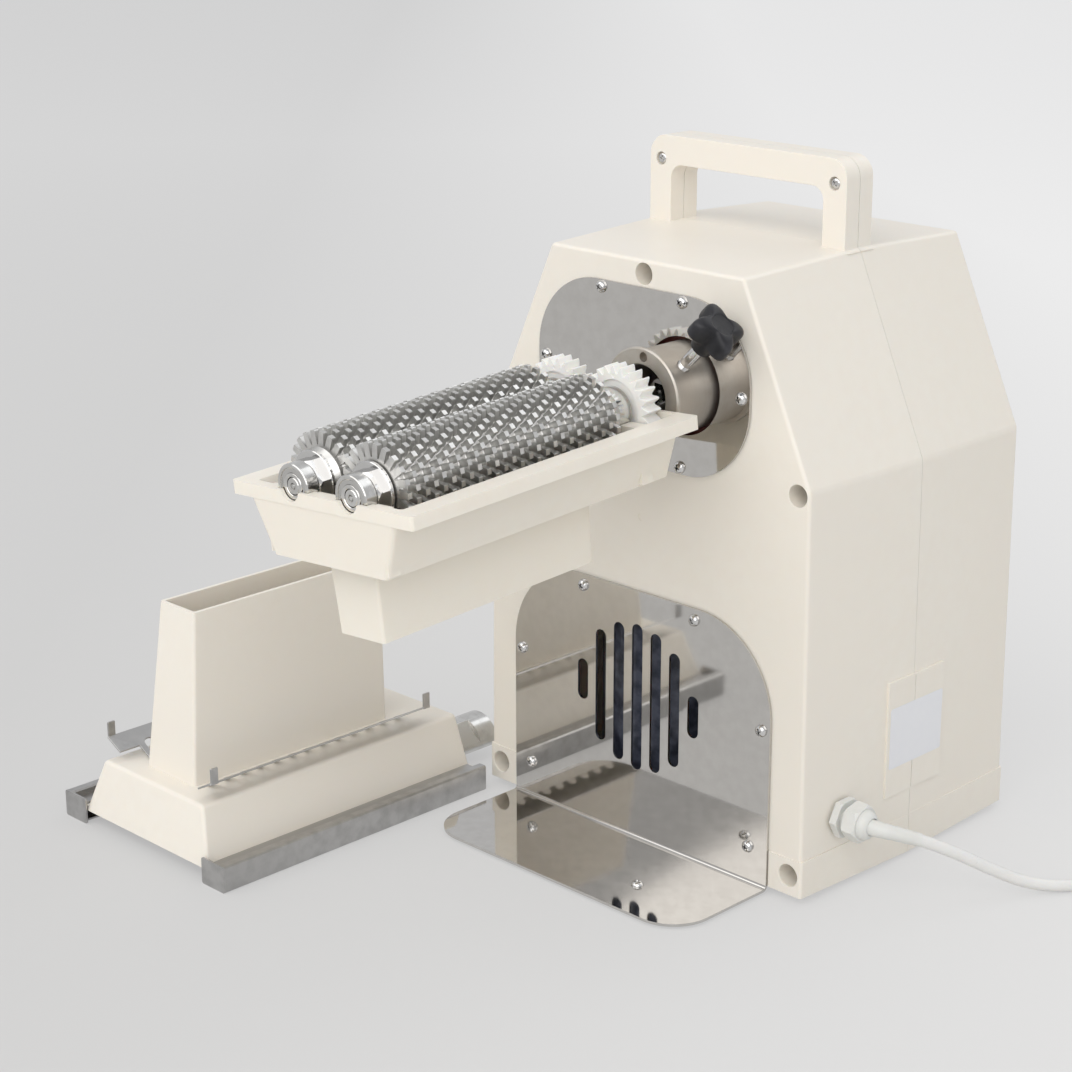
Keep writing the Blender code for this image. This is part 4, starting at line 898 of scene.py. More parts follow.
@dataclass
class Housing:
    """Two moulded half shells with a carrying handle and four rubber feet.

    Attributes:
        half_depth: From the seam to the front or back wall.
        base_half: Half the width at the foot.
        shoulder_half: Half the width at the shoulder.
        shoulder: Height of the shoulder.
        top_half: Half the width of the roof.
        top: Height of the roof at its front edge.
        grow: How much wider a half shell is at its seam.
        rise: How much higher the roof is at the seam.
        drop: How much lower the foot is at the seam.
        wall: Wall thickness.
        strip: Height of the proud strip round the foot.
        handle_half: Half the width over the handle.
        handle_top: Height of the handle.
        grip_half: Half the width of the gap under the grip.
        grip_low: Underside of the grip.
        grip_depth: Half the depth of the grip.
        handle_screw: X and Z of the right-hand handle screw.
        pad_heights: Lower and upper edge of the label's pad.
        bores: X and Z of the bores of the shell's screws.
        feet: X and Y of the feet.
    """

    half_depth: float = 106.1
    base_half: float = 137.5
    shoulder_half: float = 134.0
    shoulder: float = 260.5
    top_half: float = 79.2
    top: float = 381.0
    grow: float = 2.8
    rise: float = 3.9
    drop: float = 2.4
    wall: float = 3.2
    strip: float = 24.3
    handle_half: float = 80.5
    handle_top: float = 440.0
    grip_half: float = 62.5
    grip_low: float = 421.5
    grip_depth: float = 13.0
    handle_screw: Point2 = (71.0, 424.5)
    pad_heights: Point2 = (43.0, 121.0)
    bores: tuple[Point2, ...] = ((0.0, 372.2), (-125.0, 257.5), (125.0, 257.5), (-127.0, 12.9), (127.0, 12.9))
    feet: tuple[Point2, ...] = ((-110.0, -78.0), (110.0, -78.0), (110.0, 82.0), (-110.0, 82.0))

    def _section(self, depth: float, share: float, inset: float = 0.0) -> list[Point3]:
        """Outline of the housing at one depth.

        Args:
            depth: Its Y.
            share: 0 at the seam, 1 at the outer wall.
            inset: How far inside the outer surface it lies.

        Returns:
            Six corners.
        """
        grow, rise, drop = (size * (1.0 - share) for size in (self.grow, self.rise, self.drop))
        base = self.base_half - 0.8 + grow - inset
        shoulder = self.shoulder_half + grow - inset
        top = self.top_half + grow - inset * 0.6
        low, high = -drop + inset, self.top + rise - inset
        half = [(base, low), (shoulder, self.shoulder), (top, high)]
        return [(x, depth, z) for x, z in [(-base, low), *half, (-top, high), (-shoulder, self.shoulder)]]

    def _grip(self, low: float, high: float) -> Shape:
        """Half of the carrying handle.

        Args:
            low: Its front.
            high: Its back.

        Returns:
            The shape.
        """
        foot = self.top + 1.2
        outside = min(low, high) if abs(low) > abs(high) else max(low, high)
        right = arc((self.handle_half + 3.0, foot + 3.4), 3.0, 270, 180, 4)
        outer = right + arc((self.handle_half - 13.0, self.handle_top - 13.0), 13.0, 0, 90, 8)
        inner = arc((self.grip_half - 9.0, self.grip_low - 9.0), 9.0, 90, 0, 6)
        inner += arc((self.grip_half - 3.0, foot + 3.4), 3.0, 0, -90, 4)
        left = [(-x, z) for x, z in reversed(outer)]
        # The inner run goes back from the left foot, over the grip's underside, to the right foot.
        outline = outer + left + [(-x, z) for x, z in reversed(inner)] + list(inner)
        made = Shape("Grip").prism(outline, Axis.Y, low, high)
        limit = foot + 0.9
        return made.soften(
            2.8, lambda a, b: abs(a.y - outside) < 0.01 and abs(b.y - outside) < 0.01 and max(a.z, b.z) > limit
        )

    def _half(self, name: str, side: int) -> Shape:
        """One half shell without its openings.

        Args:
            name: Name of the piece.
            side: -1 for the front, 1 for the back.

        Returns:
            The shape.
        """
        wall_y, seam = side * self.half_depth, side * 0.15
        shell = Shape(name).loft([self._section(wall_y, 1.0), self._section(seam, 0.0)])
        shell.soften(2.4, lambda a, b: not (abs(a.y - seam) < 0.01 and abs(b.y - seam) < 0.01))
        strip = Shape(name + "_strip").loft(
            [
                [(x, side * (self.half_depth + 0.64), z) for x, z in self._foot_strip(0.0, 0.1)],
                [(x, seam, z) for x, z in self._foot_strip(1.9, -self.drop)],
            ]
        )
        strip.soften(
            2.0, lambda a, b: min(abs(a.y), abs(b.y)) > self.half_depth and abs(a.z - b.z) > 1 and abs(a.x - b.x) < 1
        )
        shell.join(strip)
        inner = self._section(side * (self.half_depth - self.wall), 1.0, self.wall)
        shell.cut(Shape(name + "_room").loft([inner, self._section(-side * 2.0, 0.0, self.wall)]))
        near, far = sorted((side * 0.23, side * self.grip_depth))
        return shell.join(self._grip(near, far))

    def _foot_strip(self, grow: float, low: float) -> list[Point2]:
        """Outline of the proud strip."""
        half = self.base_half + grow
        return [(-half, low), (half, low), (half, self.strip), (-half, self.strip)]

    def _pad(self, low: float, high: float) -> Shape:
        """Raised seat of the rating label."""
        bottom, top = self.pad_heights
        return Shape("Label_seat").box((self.base_half - 2.6, low, bottom), (self.base_half + 2.2, high, top))

    def front(self) -> None:
        """Build the front half shell."""
        shell = self._half("Housing_Front", -1)
        face = -self.half_depth
        posts, bores = Shape("Posts"), Shape("Bores")
        for x, z in self.bores:
            posts.prism(ring((x, z), 8.4, 32), Axis.Y, face + 0.9, face + 42.0)
            bores.lathe([(0.0, -4.0), (8.0, -4.0), (8.0, -1.2), (6.8, 0.4), (6.8, 38.0), (0.0, 38.0)], (x, face, z))
        shell.join(posts).cut(bores)
        openings = Shape("Openings").prism(ring(DRIVEN_AXIS, 35.5, 64), Axis.Y, face - 4, face + 8)
        openings.prism(soft_rect((0.0, 96.0), 112.0, 108.0, 30.0), Axis.Y, face - 4, face + 8)
        openings.box((-111.5, face - 6.0, -2.0), (111.5, face - 0.01, self.strip + 2.0))
        openings.prism(ring((-70.0, 45.0), 8.3, 32), Axis.X, self.base_half - 12, self.base_half + 8)
        openings.lathe([(0.0, -1.0), (2.7, -1.0), (2.7, 0.3), (0.0, 0.3)], (0.5, face, 217.3), steps=32)
        for side in (-1, 1):
            at = (side * self.handle_screw[0], -self.grip_depth, self.handle_screw[1])
            openings.lathe([(0.0, -4.0), (4.3, -4.0), (4.3, 2.2), (2.1, 2.2), (2.1, 9.0), (0.0, 9.0)], at, steps=32)
        shell.cut(openings).join(self._pad(-27.0, -0.25)).round(0.35, 2, 35)
        shell.settle(Palette.cream, ["Front_Shell"], "cream_plastic")

    def back(self) -> None:
        """Build the rear half shell with its louvres."""
        shell = self._half("Housing_Rear", 1)
        cuts = Shape("Louvres").box((-self.base_half - 6.0, 49.0, 71.0), (-self.base_half + 12.0, 71.0, 101.0))
        for row in range(6):
            slot = soft_rect((0.0, 70.0 + row * 14.0), 96.0, 5.0, 2.4, 6)
            cuts.prism(slot, Axis.Y, self.half_depth - 8.0, self.half_depth + 4.0)
        shell.cut(cuts).join(self._pad(0.25, 30.5)).round(0.35, 2, 35)
        shell.settle(Palette.cream, ["Rear_Shell"], "cream_plastic")

    def fittings(self) -> None:
        """Add the bare label, the feet and the handle's screws."""
        face = self.base_half + 2.2
        sticker = Shape("Blank_Label").prism(soft_rect((2.4, 82.5), 54.0, 41.0, 1.6), Axis.X, face + 0.02, face + 0.16)
        sticker.settle(Palette.label)
        soles = Shape("Rubber_Feet")
        for x, y in self.feet:
            profile = [(0.0, -5.0), (4.0, -5.0), (4.4, -4.4), (7.0, -4.4), (7.4, -5.0), (9.8, -5.0), (11.0, -4.6)]
            soles.lathe(profile + [(12.0, -3.4), (12.0, -1.6), (11.6, -1.2), (0.0, -1.2)], (x, y, 0.0), (0, 0, 1))
        names = [f"Foot_{index}" for index in range(1, 5)]
        soles.settle(Palette.rubber, names, "rubber")
        x, z = self.handle_screw
        spots = [(side * x, -self.grip_depth + 2.15, z) for side in (-1, 1)]
        Screw(3.9, 2.1).group("Handle_Screws", spots, (0, -1, 0), ["Handle_Screw_1", "Handle_Screw_2"])

    def build(self) -> None:
        """Build the whole housing."""
        self.front()
        self.back()
        self.fittings()


@dataclass
class Plates:
    """The two polished front plates and their screws.

    Attributes:
        face: Y of their front surface.
        thick: Their thickness.
        lower_half: Half the width of the lower one.
        foot_front: Y of the foot plate's front edge.
        field: Radius of the round field of slots.
        pitch: Distance between slots.
        slot: Width of a slot.
        upper_screws: X and Z of the upper plate's screws.
        lower_screws: X and Z of the lower plate's screws.
    """

    face: float = -108.2
    thick: float = 1.8
    lower_half: float = 110.9
    foot_front: float = -192.0
    field: float = 50.0
    pitch: float = 16.0
    slot: float = 9.0
    upper_screws: tuple[Point2, ...] = (
        (-33.4, 360.0), (33.4, 360.0), (81.4, 309.0), (33.6, 257.0), (-33.6, 257.0), (-81.4, 309.0),
    )
    lower_screws: tuple[Point2, ...] = (
        (-47.8, 161.0), (47.8, 161.0), (104.0, 103.3), (95.7, 23.0), (-95.7, 23.0), (-104.0, 103.3),
    )

    def upper(self) -> None:
        """Build the plate round the drive socket."""
        back = self.face + self.thick
        sheet = Shape("Socket_Plate").prism(soft_rect((0, 308.5), 176, 112, 50, 24), Axis.Y, self.face, back)
        holes = Shape("Socket_Plate_holes").prism(ring(DRIVEN_AXIS, 30.5, 96), Axis.Y, self.face - 2, back + 2)
        sheet.cut(holes).round(0.28, 2)
        sheet.settle(Palette.mirror, ["Upper_Plate"], "polished_steel")

    def lower(self) -> None:
        """Build the bent plate with its slots and its foot."""
        back, under = self.face + self.thick, -3.2
        bend = (self.face - 2.2, -1.4 + 2.2)
        profile = [(self.foot_front - 4.0, under), *arc(bend, 4.0, 270, 360, 8), (back, 175.0), (self.face, 175.0)]
        profile += [*arc(bend, 2.2, 360, 270, 8), (self.foot_front - 4.0, -1.4)]
        half = self.lower_half
        sheet = Shape("Vent_Plate").prism(profile, Axis.X, -half - 3.0, half + 3.0)
        front = [(-half, -8.0), (half, -8.0), *arc((half - 60, 108.5), 60, 0, 90, 24)]
        front += arc((60 - half, 108.5), 60, 90, 180, 24)
        sheet.keep(Shape("Vent_Plate_front").prism(front, Axis.Y, self.foot_front - 9.0, back + 3.0))
        plan = [(half, back + 3.0), (-half, back + 3.0), *arc((28 - half, self.foot_front + 28), 28, 180, 270, 12)]
        plan += arc((half - 28, self.foot_front + 28), 28, 270, 360, 12)
        sheet.keep(Shape("Vent_Plate_plan").prism(plan, Axis.Z, -8.0, 180.0))
        slots = Shape("Vent_Plate_slots")
        for index in range(-3, 4):
            x = index * self.pitch
            long = 2 * math.sqrt(self.field ** 2 - x ** 2)
            slots.prism(soft_rect((x, 96.0), self.slot, long, self.slot / 2 - 0.02, 8), Axis.Y, self.face - 2, back + 2)
        sheet.cut(slots).round(0.28, 2)
        sheet.settle(Palette.mirror, ["Lower_Plate"], "polished_steel")

    def build(self) -> None:
        """Build both plates, their screws and the pad under the foot plate."""
        self.upper()
        self.lower()
        for word, spots in (("Upper", self.upper_screws), ("Lower", self.lower_screws)):
            seats = [(x, self.face - 0.02, z) for x, z in spots]
            names = [f"{word}_Screw_{index}" for index in range(1, 7)]
            Screw(height=3.1).group(f"{word}_Plate_Screws", seats, (0, -1, 0), names)
        Screw(height=2.7).group("Foot_Plate_Screw", [(50.0, -160.0, -1.35)], (0, 0, 1), ["Pad_Screw"])
        pad = Shape("Foot_Pad").lathe([(2.1, -5.0), (13.6, -5.0), (14, -4.6), (14, -3.3), (2.1, -3.3), (2.1, -5)],
                                      (50.0, -160.0, 0.0), (0, 0, 1))
        pad.settle(Palette.rubber, ["Plate_Pad"], "rubber")


@dataclass
class DriveLine:
    """Socket, output coupling, clamp and what can be seen of the gear unit.

    Attributes:
        axis: X and Z of the driven axis.
        bore: Radius of the socket's bore.
        front: Y of the socket's mouth.
        stud_y: Y of the clamp stud.
    """

    axis: Point2 = DRIVEN_AXIS
    bore: float = 19.4
    front: float = -145.0
    stud_y: float = -128.5

    def socket(self) -> None:
        """Build the turned socket that the tray plugs into."""
        centre = (self.axis[0], 0.0, self.axis[1])
        front = self.front
        profile = [
            (self.bore, -99.8), (self.bore, front + 0.9), (self.bore + 0.9, front), (29.0, front), (30.0, front + 0.9),
            (30.0, front + 2.4), (29.4, front + 3.1), (28.2, front + 3.5), (27.5, front + 4.2), (27.5, -99.8),
            (self.bore, -99.8),
        ]
        body = Shape("Drive_Collar").lathe(profile, centre, steps=112)
        holes = Shape("Collar_holes")
        hole = [(0.0, -8.0), (3.6, -8.0), (3.0, 0.5), (3.0, 6.0), (0.0, 6.0)]
        holes.lathe(hole, (self.axis[0] + 2.0, front, self.axis[1] + 24.6), steps=32)
        shank = [(0.0, 14.0), (4.3, 14.0), (4.3, 36.0), (0.0, 36.0)]
        holes.lathe(shank, (self.axis[0], self.stud_y, self.axis[1]), (1, 0, 1), 32)
        body.cut(holes).round(0.2, 2, 50)
        body.settle(Palette.nickel, ["Drive_Socket"], "turned_steel")

    def output(self) -> None:
        """Build the output coupling with its square pocket."""
        centre = (self.axis[0], 0.0, self.axis[1])
        profile = [(0, -128), (7.6, -128), (8.6, -127), (9, -121), (9, -118), (8.4, -117.4), (8.4, -114), (9, -113.4)]
        shaft = Shape("Output_Coupling").lathe([*profile, (9, -23), (0, -23)], centre)
        pocket = Shape("Pocket").prism(ring(self.axis, 6.6, 4, 40.0), Axis.Y, -132.0, -112.0)
        shaft.cut(pocket).round(0.25, 2, 50)
        shaft.settle(Palette.chrome, ["Output_Shaft"], "stainless_steel", body="output")

    def clamp(self) -> None:
        """Build the clamp stud and its four-lobed palm grip."""
        centre = Vector((self.axis[0], self.stud_y, self.axis[1]))
        out = Vector((1.0, 0.0, 1.0)).normalized()
        thread: list[Point2] = [(0.0, 19.9), (3.0, 19.9), (3.9, 20.9)]
        for index in range(7):
            level = 21.6 + index * 1.25
            thread += [(4.0, level), (3.5, level + 0.5), (4.0, level + 1.0)]
        thread += [(4.0, 32.0), (4.0, 44.6), (3.6, 45.6), (0.0, 45.6)]
        stud = Shape("Clamp_Stud_Turned").lathe(thread, centre, out, 48)
        stud.settle(Palette.chrome, ["Clamp_Stud"], "stainless_steel", body="clamp")
        side = Vector((0.0, 1.0, 0.0))
        across = out.cross(side)
        rings = []
        sizes = (
            (45.8, 6.2, 0.0), (46.0, 6.8, 0.0), (47.2, 7.1, 0.0), (50.5, 8.0, 0.1), (53.0, 9.3, 0.6), (54.8, 11.0, 1.9),
            (56.2, 12.8, 3.3), (57.6, 13.7, 3.9), (59.4, 14.0, 4.1), (63.6, 14.0, 4.1), (65.8, 13.8, 4.0),
            (67.6, 13.0, 3.6), (68.9, 11.6, 2.8), (69.6, 9.6, 1.7), (69.8, 8.2, 0.8), (69.6, 7.4, 0.2),
            (69.2, 7.0, 0.0),
            (69.2, 2.0, 0.0),
        )
        for height, size, lobe in sizes:
            rings.append([])
            for index in range(96):
                turn = 2 * math.pi * index / 96
                reach = size + lobe * math.cos(4 * turn + 1.4)
                rings[-1].append(centre + out * height + (side * math.cos(turn) + across * math.sin(turn)) * reach)
        grip = Shape("Palm_Grip").loft(rings)
        grip.settle(Palette.black, ["Clamp_Knob"], "black_plastic", body="clamp", sharp=50)

    def dress(self) -> None:
        """Give the internal solids their finishes."""
        finishes = {
            "Gearbox_Case": Palette.oxide, "Gearbox_Cover": Palette.oxide, "Reduction_Wheel": Palette.bronze,
            "Motor_Body": Palette.enamel, "Motor_Shaft": Palette.satin,
        }
        for name, finish in finishes.items():
            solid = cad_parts[name]
            solid.data.materials.clear()
            solid.data.materials.append(finish.build())

    def build(self) -> None:
        """Build the drive line."""
        self.socket()
        self.output()
        self.clamp()
        self.dress()


@dataclass
class Switch:
    """Rocker switch in the left wall.

    Attributes:
        face: X of the wall that it sits in.
        middle: Y and Z of its middle.
    """

    face: float = -139.1
    middle: Point2 = (60.0, 86.0)

    def build(self) -> None:
        """Build the bezel, the rocker and its two signs."""
        x, (y, z) = self.face, self.middle
        bezel = Shape("Switch_Bezel").prism(soft_rect((y, z), 26.0, 34.0, 2.4), Axis.X, x - 2.0, x)
        bezel.join(Shape("Barrel").box((x - 1.0, y - 10.6, z - 14.6), (x + 20.0, y + 10.6, z + 14.6)))
        bezel.cut(Shape("Well").prism(soft_rect((y, z), 16.8, 24.8, 0.8), Axis.X, x - 4.0, x + 12.0)).round(0.4, 2)
        bezel.settle(Palette.black, ["Switch_Body"], "black_plastic")
        outline = [(x - 1.0, 76.2), (x - 1.9, 82.0), (x - 3.0, 89.5), (x - 4.0, 95.5), (x + 3.2, 96.6), (x + 7, 86)]
        rings = [[(u, depth, v) for u, v in [*outline, (x + 3.2, 75.4)]] for depth in (52.1, 67.9)]
        rocker = Shape("Rocker").loft(rings).round(0.5, 3, 25)
        rocker.settle(Palette.black, ["Switch_Rocker"], "black_plastic", body="switch")
        signs = Shape("Switch_Signs").box((x - 3.9, y - 0.5, z + 3.6), (x - 2.3, y + 0.5, z + 8.0))
        circle = [(1.5, -1.2), (2.3, -1.2), (2.3, 1.2), (1.5, 1.2), (1.5, -1.2)]
        signs.lathe(circle, (x - 0.4, y, z - 5.4), (1, 0, 0), 32)
        signs.settle(Palette.white, body="switch")


@dataclass
class Lead:
    """Mains lead with its gland, its strain relief and its plug.

    Attributes:
        wall: X of the outer face of the wall at the gland.
        exit: Y and Z of the gland's axis.
        radius: Radius of the lead.
        floor: Height of the lead's middle where it lies.
        coil: X and Y of the coil's middle.
        inner: Radius of the coil's inner turns.
        outer: Radius of its outer turns.
        plug_x: X of the plug's axis.
        plug_tail: Y where the lead enters the plug.
        plug_z: Z of the plug's axis.
        turns: Number of inner turns.
        knots_per_turn: Points on each turn of the coil.
        route: Points of the lead from its gland to the coil.
    """

    wall: float = 139.1
    exit: Point2 = (-70.0, 45.0)
    radius: float = 3.9
    floor: float = -1.0
    coil: Point2 = (318.0, 84.0)
    inner: float = 37.4
    outer: float = 45.8
    plug_x: float = 382.3
    plug_tail: float = 104.0
    plug_z: float = 13.6
    turns: int = 3
    knots_per_turn: int = 14
    route: tuple[Point3, ...] = (
        (146.0, -70.0, 45.0), (163.5, -70.0, 44.9), (174.0, -64.0, 43.0), (185.0, -51.0, 37.6), (198.0, -33.0, 27.6),
        (212.0, -13.0, 14.5), (224.0, 4.0, 4.6), (237.0, 20.0, 0.0), (249.0, 38.0, -1.0), (259.0, 59.0, -1.0),
    )

    def gland(self) -> None:
        """Build the gland's body and its nut."""
        wall, (y, z) = self.wall, self.exit
        hexagon = ring((y, z), 23.0 / math.sqrt(3.0), 6)
        body = Shape("Gland_Seat").prism(hexagon, Axis.X, wall, wall + 5.0)
        cone = [(0.0, -1.0), (13.6, -1.0), (13.6, 3.6), (11.4, 6.0), (0.0, 6.0)]
        body.keep(Shape("Gland_cone").lathe(cone, (wall, y, z), (1, 0, 0)))
        thread: list[Point2] = [(4.3, -14.0), (8.0, -14.0), (8.0, 5.0)]
        for step in range(2):
            thread += [(8.0, 5.4 + step * 1.3), (7.5, 5.9 + step * 1.3), (8.0, 6.4 + step * 1.3)]
        thread += [(8.0, 8.0), (4.3, 8.0), (4.3, -14.0)]
        body.join(Shape("Gland_thread").lathe(thread, (wall, y, z), (1, 0, 0))).round(0.3, 2, 45)
        body.settle(Palette.gland, ["Gland_Body"], "grey_nylon")
        nut = Shape("Gland_Cap").prism(ring((y, z), 22.0 / math.sqrt(3.0), 6, 12.0), Axis.X, wall + 8.2, wall + 18.0)
        cone = [(0.0, 8.0), (11.6, 8.0), (13.0, 9.2), (13.0, 15.6), (10.8, 18.4), (0.0, 18.4)]
        nut.keep(Shape("Cap_cone").lathe(cone, (wall, y, z), (1, 0, 0)))
        dome = [(0.0, 16.0), (9.6, 16.0), (9.55, 18.6), (9.2, 20.2), (8.3, 21.9), (7.0, 23.1), (6.2, 23.6), (0.0, 23.6)]
        nut.join(Shape("Dome").lathe(dome, (wall, y, z), (1, 0, 0)))
        nut.cut(Shape("Cap_bore").prism(ring((y, z), 5.6, 40), Axis.X, wall + 4.0, wall + 30.0)).round(0.3, 2, 45)
        nut.settle(Palette.gland, ["Gland_Nut"], "grey_nylon")

    def _knots(self) -> list[Vector]:
        """Points that the lead's centreline passes through.

        Returns:
            The points, in drive millimetres.
        """
        knots = [Vector(point) for point in self.route]
        middle_x, middle_y = self.coil

        def turn_of(angle: float, radius: float, height: float) -> None:
            """Add the knot at an angle of the coil."""
            spoke = math.radians(angle)
            knots.append(Vector((middle_x + radius * math.cos(spoke), middle_y + radius * math.sin(spoke), height)))

        pitch, per = 2 * self.radius + 0.4, self.knots_per_turn
        # Inner turns, wound clockwise and climbing; the lead comes in under them at the left.
        for index in range(1, per * self.turns + 1):
            spread = self.inner + max(0.0, 1.0 - index / 5) * 15.0
            start = 0.6 if index <= 3 else 1.0
            turn_of(180.0 - index * 360.0 / per, spread, self.floor + 0.2 + pitch * start * index / per)
        top = self.floor + 0.2 + pitch * self.turns
        # Outer turns, still clockwise and coming down, held up where they cross the lead that comes in.
        lowest = self.floor + 0.2 + pitch
        for index in range(1, round(per * 2.22) + 1):
            spread = self.inner + (self.outer - self.inner) * min(1.0, index / 2)
            height = max(top - pitch * index / per, lowest + 0.3 * max(0, index - 2 * per))
            turn_of(180.0 - index * 360.0 / per, spread, height)
        return knots

    def _line(self, knots: Sequence[Vector], step: float) -> list[Vector]:
        """Even points on a smooth curve through the knots.

        Args:
            knots: Points that it passes through.
            step: Distance between the points.

        Returns:
            The points.
        """
        ends = [2 * knots[0] - knots[1], *knots, 2 * knots[-1] - knots[-2]]
        fine: list[Vector] = []
        for a, b, c, d in zip(ends, ends[1:], ends[2:], ends[3:]):
            for index in range(16):
                t = index / 16
                slope, square = (c - a) * t, (2 * a - 5 * b + 4 * c - d) * t ** 2
                fine.append((2 * b + slope + square + (3 * b - a - 3 * c + d) * t ** 3) / 2)
        fine.append(knots[-1])
        kept, run = [fine[0]], 0.0
        for before, after in zip(fine, fine[1:]):
            run += (after - before).length
            if run >= step:
                kept.append(after)
                run = 0.0
        if (kept[-1] - fine[-1]).length < step / 2:
            kept.pop()
        return [*kept, fine[-1]]

    def cord(self) -> None:
        knots = self._knots()
        ahead = knots[-1] - knots[-2]
        ahead = Vector((ahead.x, ahead.y, 0.0)).normalized()
        # A wide bend brings the end of the lead round into the plug's tail.
        tail = Vector((self.plug_x, self.plug_tail, self.plug_z))
        a, b, c = knots[-1], knots[-1] + ahead * 42.0, tail + Vector((0.0, 30.0, 0.0))
        for index in range(1, 8):
            t = index / 8
            knots.append(a * (1 - t) ** 3 + b * 3 * t * (1 - t) ** 2 + c * 3 * t ** 2 * (1 - t) + tail * t ** 3)
        knots += [tail, tail - Vector((0.0, 6.0, 0.0))]
        line = self._line(knots, 4.6)
        lead = Shape("Mains_Lead").tube(line, [self.radius] * len(line), 18)
        lead_item = lead.settle(Palette.lead, ["Mains_Cord", "Cord_Coil"], "white_pvc", sharp=60.0)
        relief_path = self._line([Vector(point) for point in self.route[:4]], 1.6)
        start = self.wall + 19.0
        relief_path = [point for point in relief_path if point.x > start][:18]
        count = len(relief_path) - 1
        girths = [5.5 - 1.2 * (index / count) ** 0.8 - 0.25 * (index % 3 == 2) for index in range(count + 1)]
        relief = Shape("Lead_Relief").tube(relief_path, girths, 28)
        relief_item = relief.settle(Palette.gland, (), "grey_nylon", sharp=60.0)
        plug_items = self._plug()

    def _plug(self) -> list[bpy.types.Object]:
        """Build the round plug and its pins.

        Returns:
            Both pieces.
        """
        seat = (self.plug_x, self.coil[1], self.plug_z)
        profile = [(0.0, -30.0), (4.6, -30.0), (5.2, -28.8)]
        for index in range(3):
            start = -28.0 + index * 4.6
            profile += [(5.9 + index * 0.4, start), (5.9 + index * 0.4, start + 2.8), (4.9 + index * 0.3, start + 3.2)]
            profile += [(4.9 + index * 0.3, start + 4.2)]
        profile += [(7.4, -13.6), (10.0, -11.6), (13.0, -8.6), (16.0, -4.0), (17.5, 0.0), (17.6, 2.0), (17.0, 3.0)]
        profile += [(17.0, 5.0), (18.1, 6.0), (18.5, 8.0), (18.5, 29.2), (17.9, 30.0), (0.0, 30.0)]
        body = Shape("Plug_Body").lathe(profile, seat, (0, -1, 0))
        pins = Shape("Plug_Pins")
        for side in (-9.5, 9.5):
            pin = [(0.0, 29.0), (2.4, 29.0), (2.4, 46.4), (2.0, 48.2), (1.2, 49.0), (0.0, 49.0)]
            pins.lathe(pin, (seat[0] + side, seat[1], seat[2]), (0, -1, 0), 32)
        return [
            body.settle(Palette.lead, ["Mains_Plug"], "white_pvc"),
            pins.settle(Palette.chrome, (), "stainless_steel"),
        ]


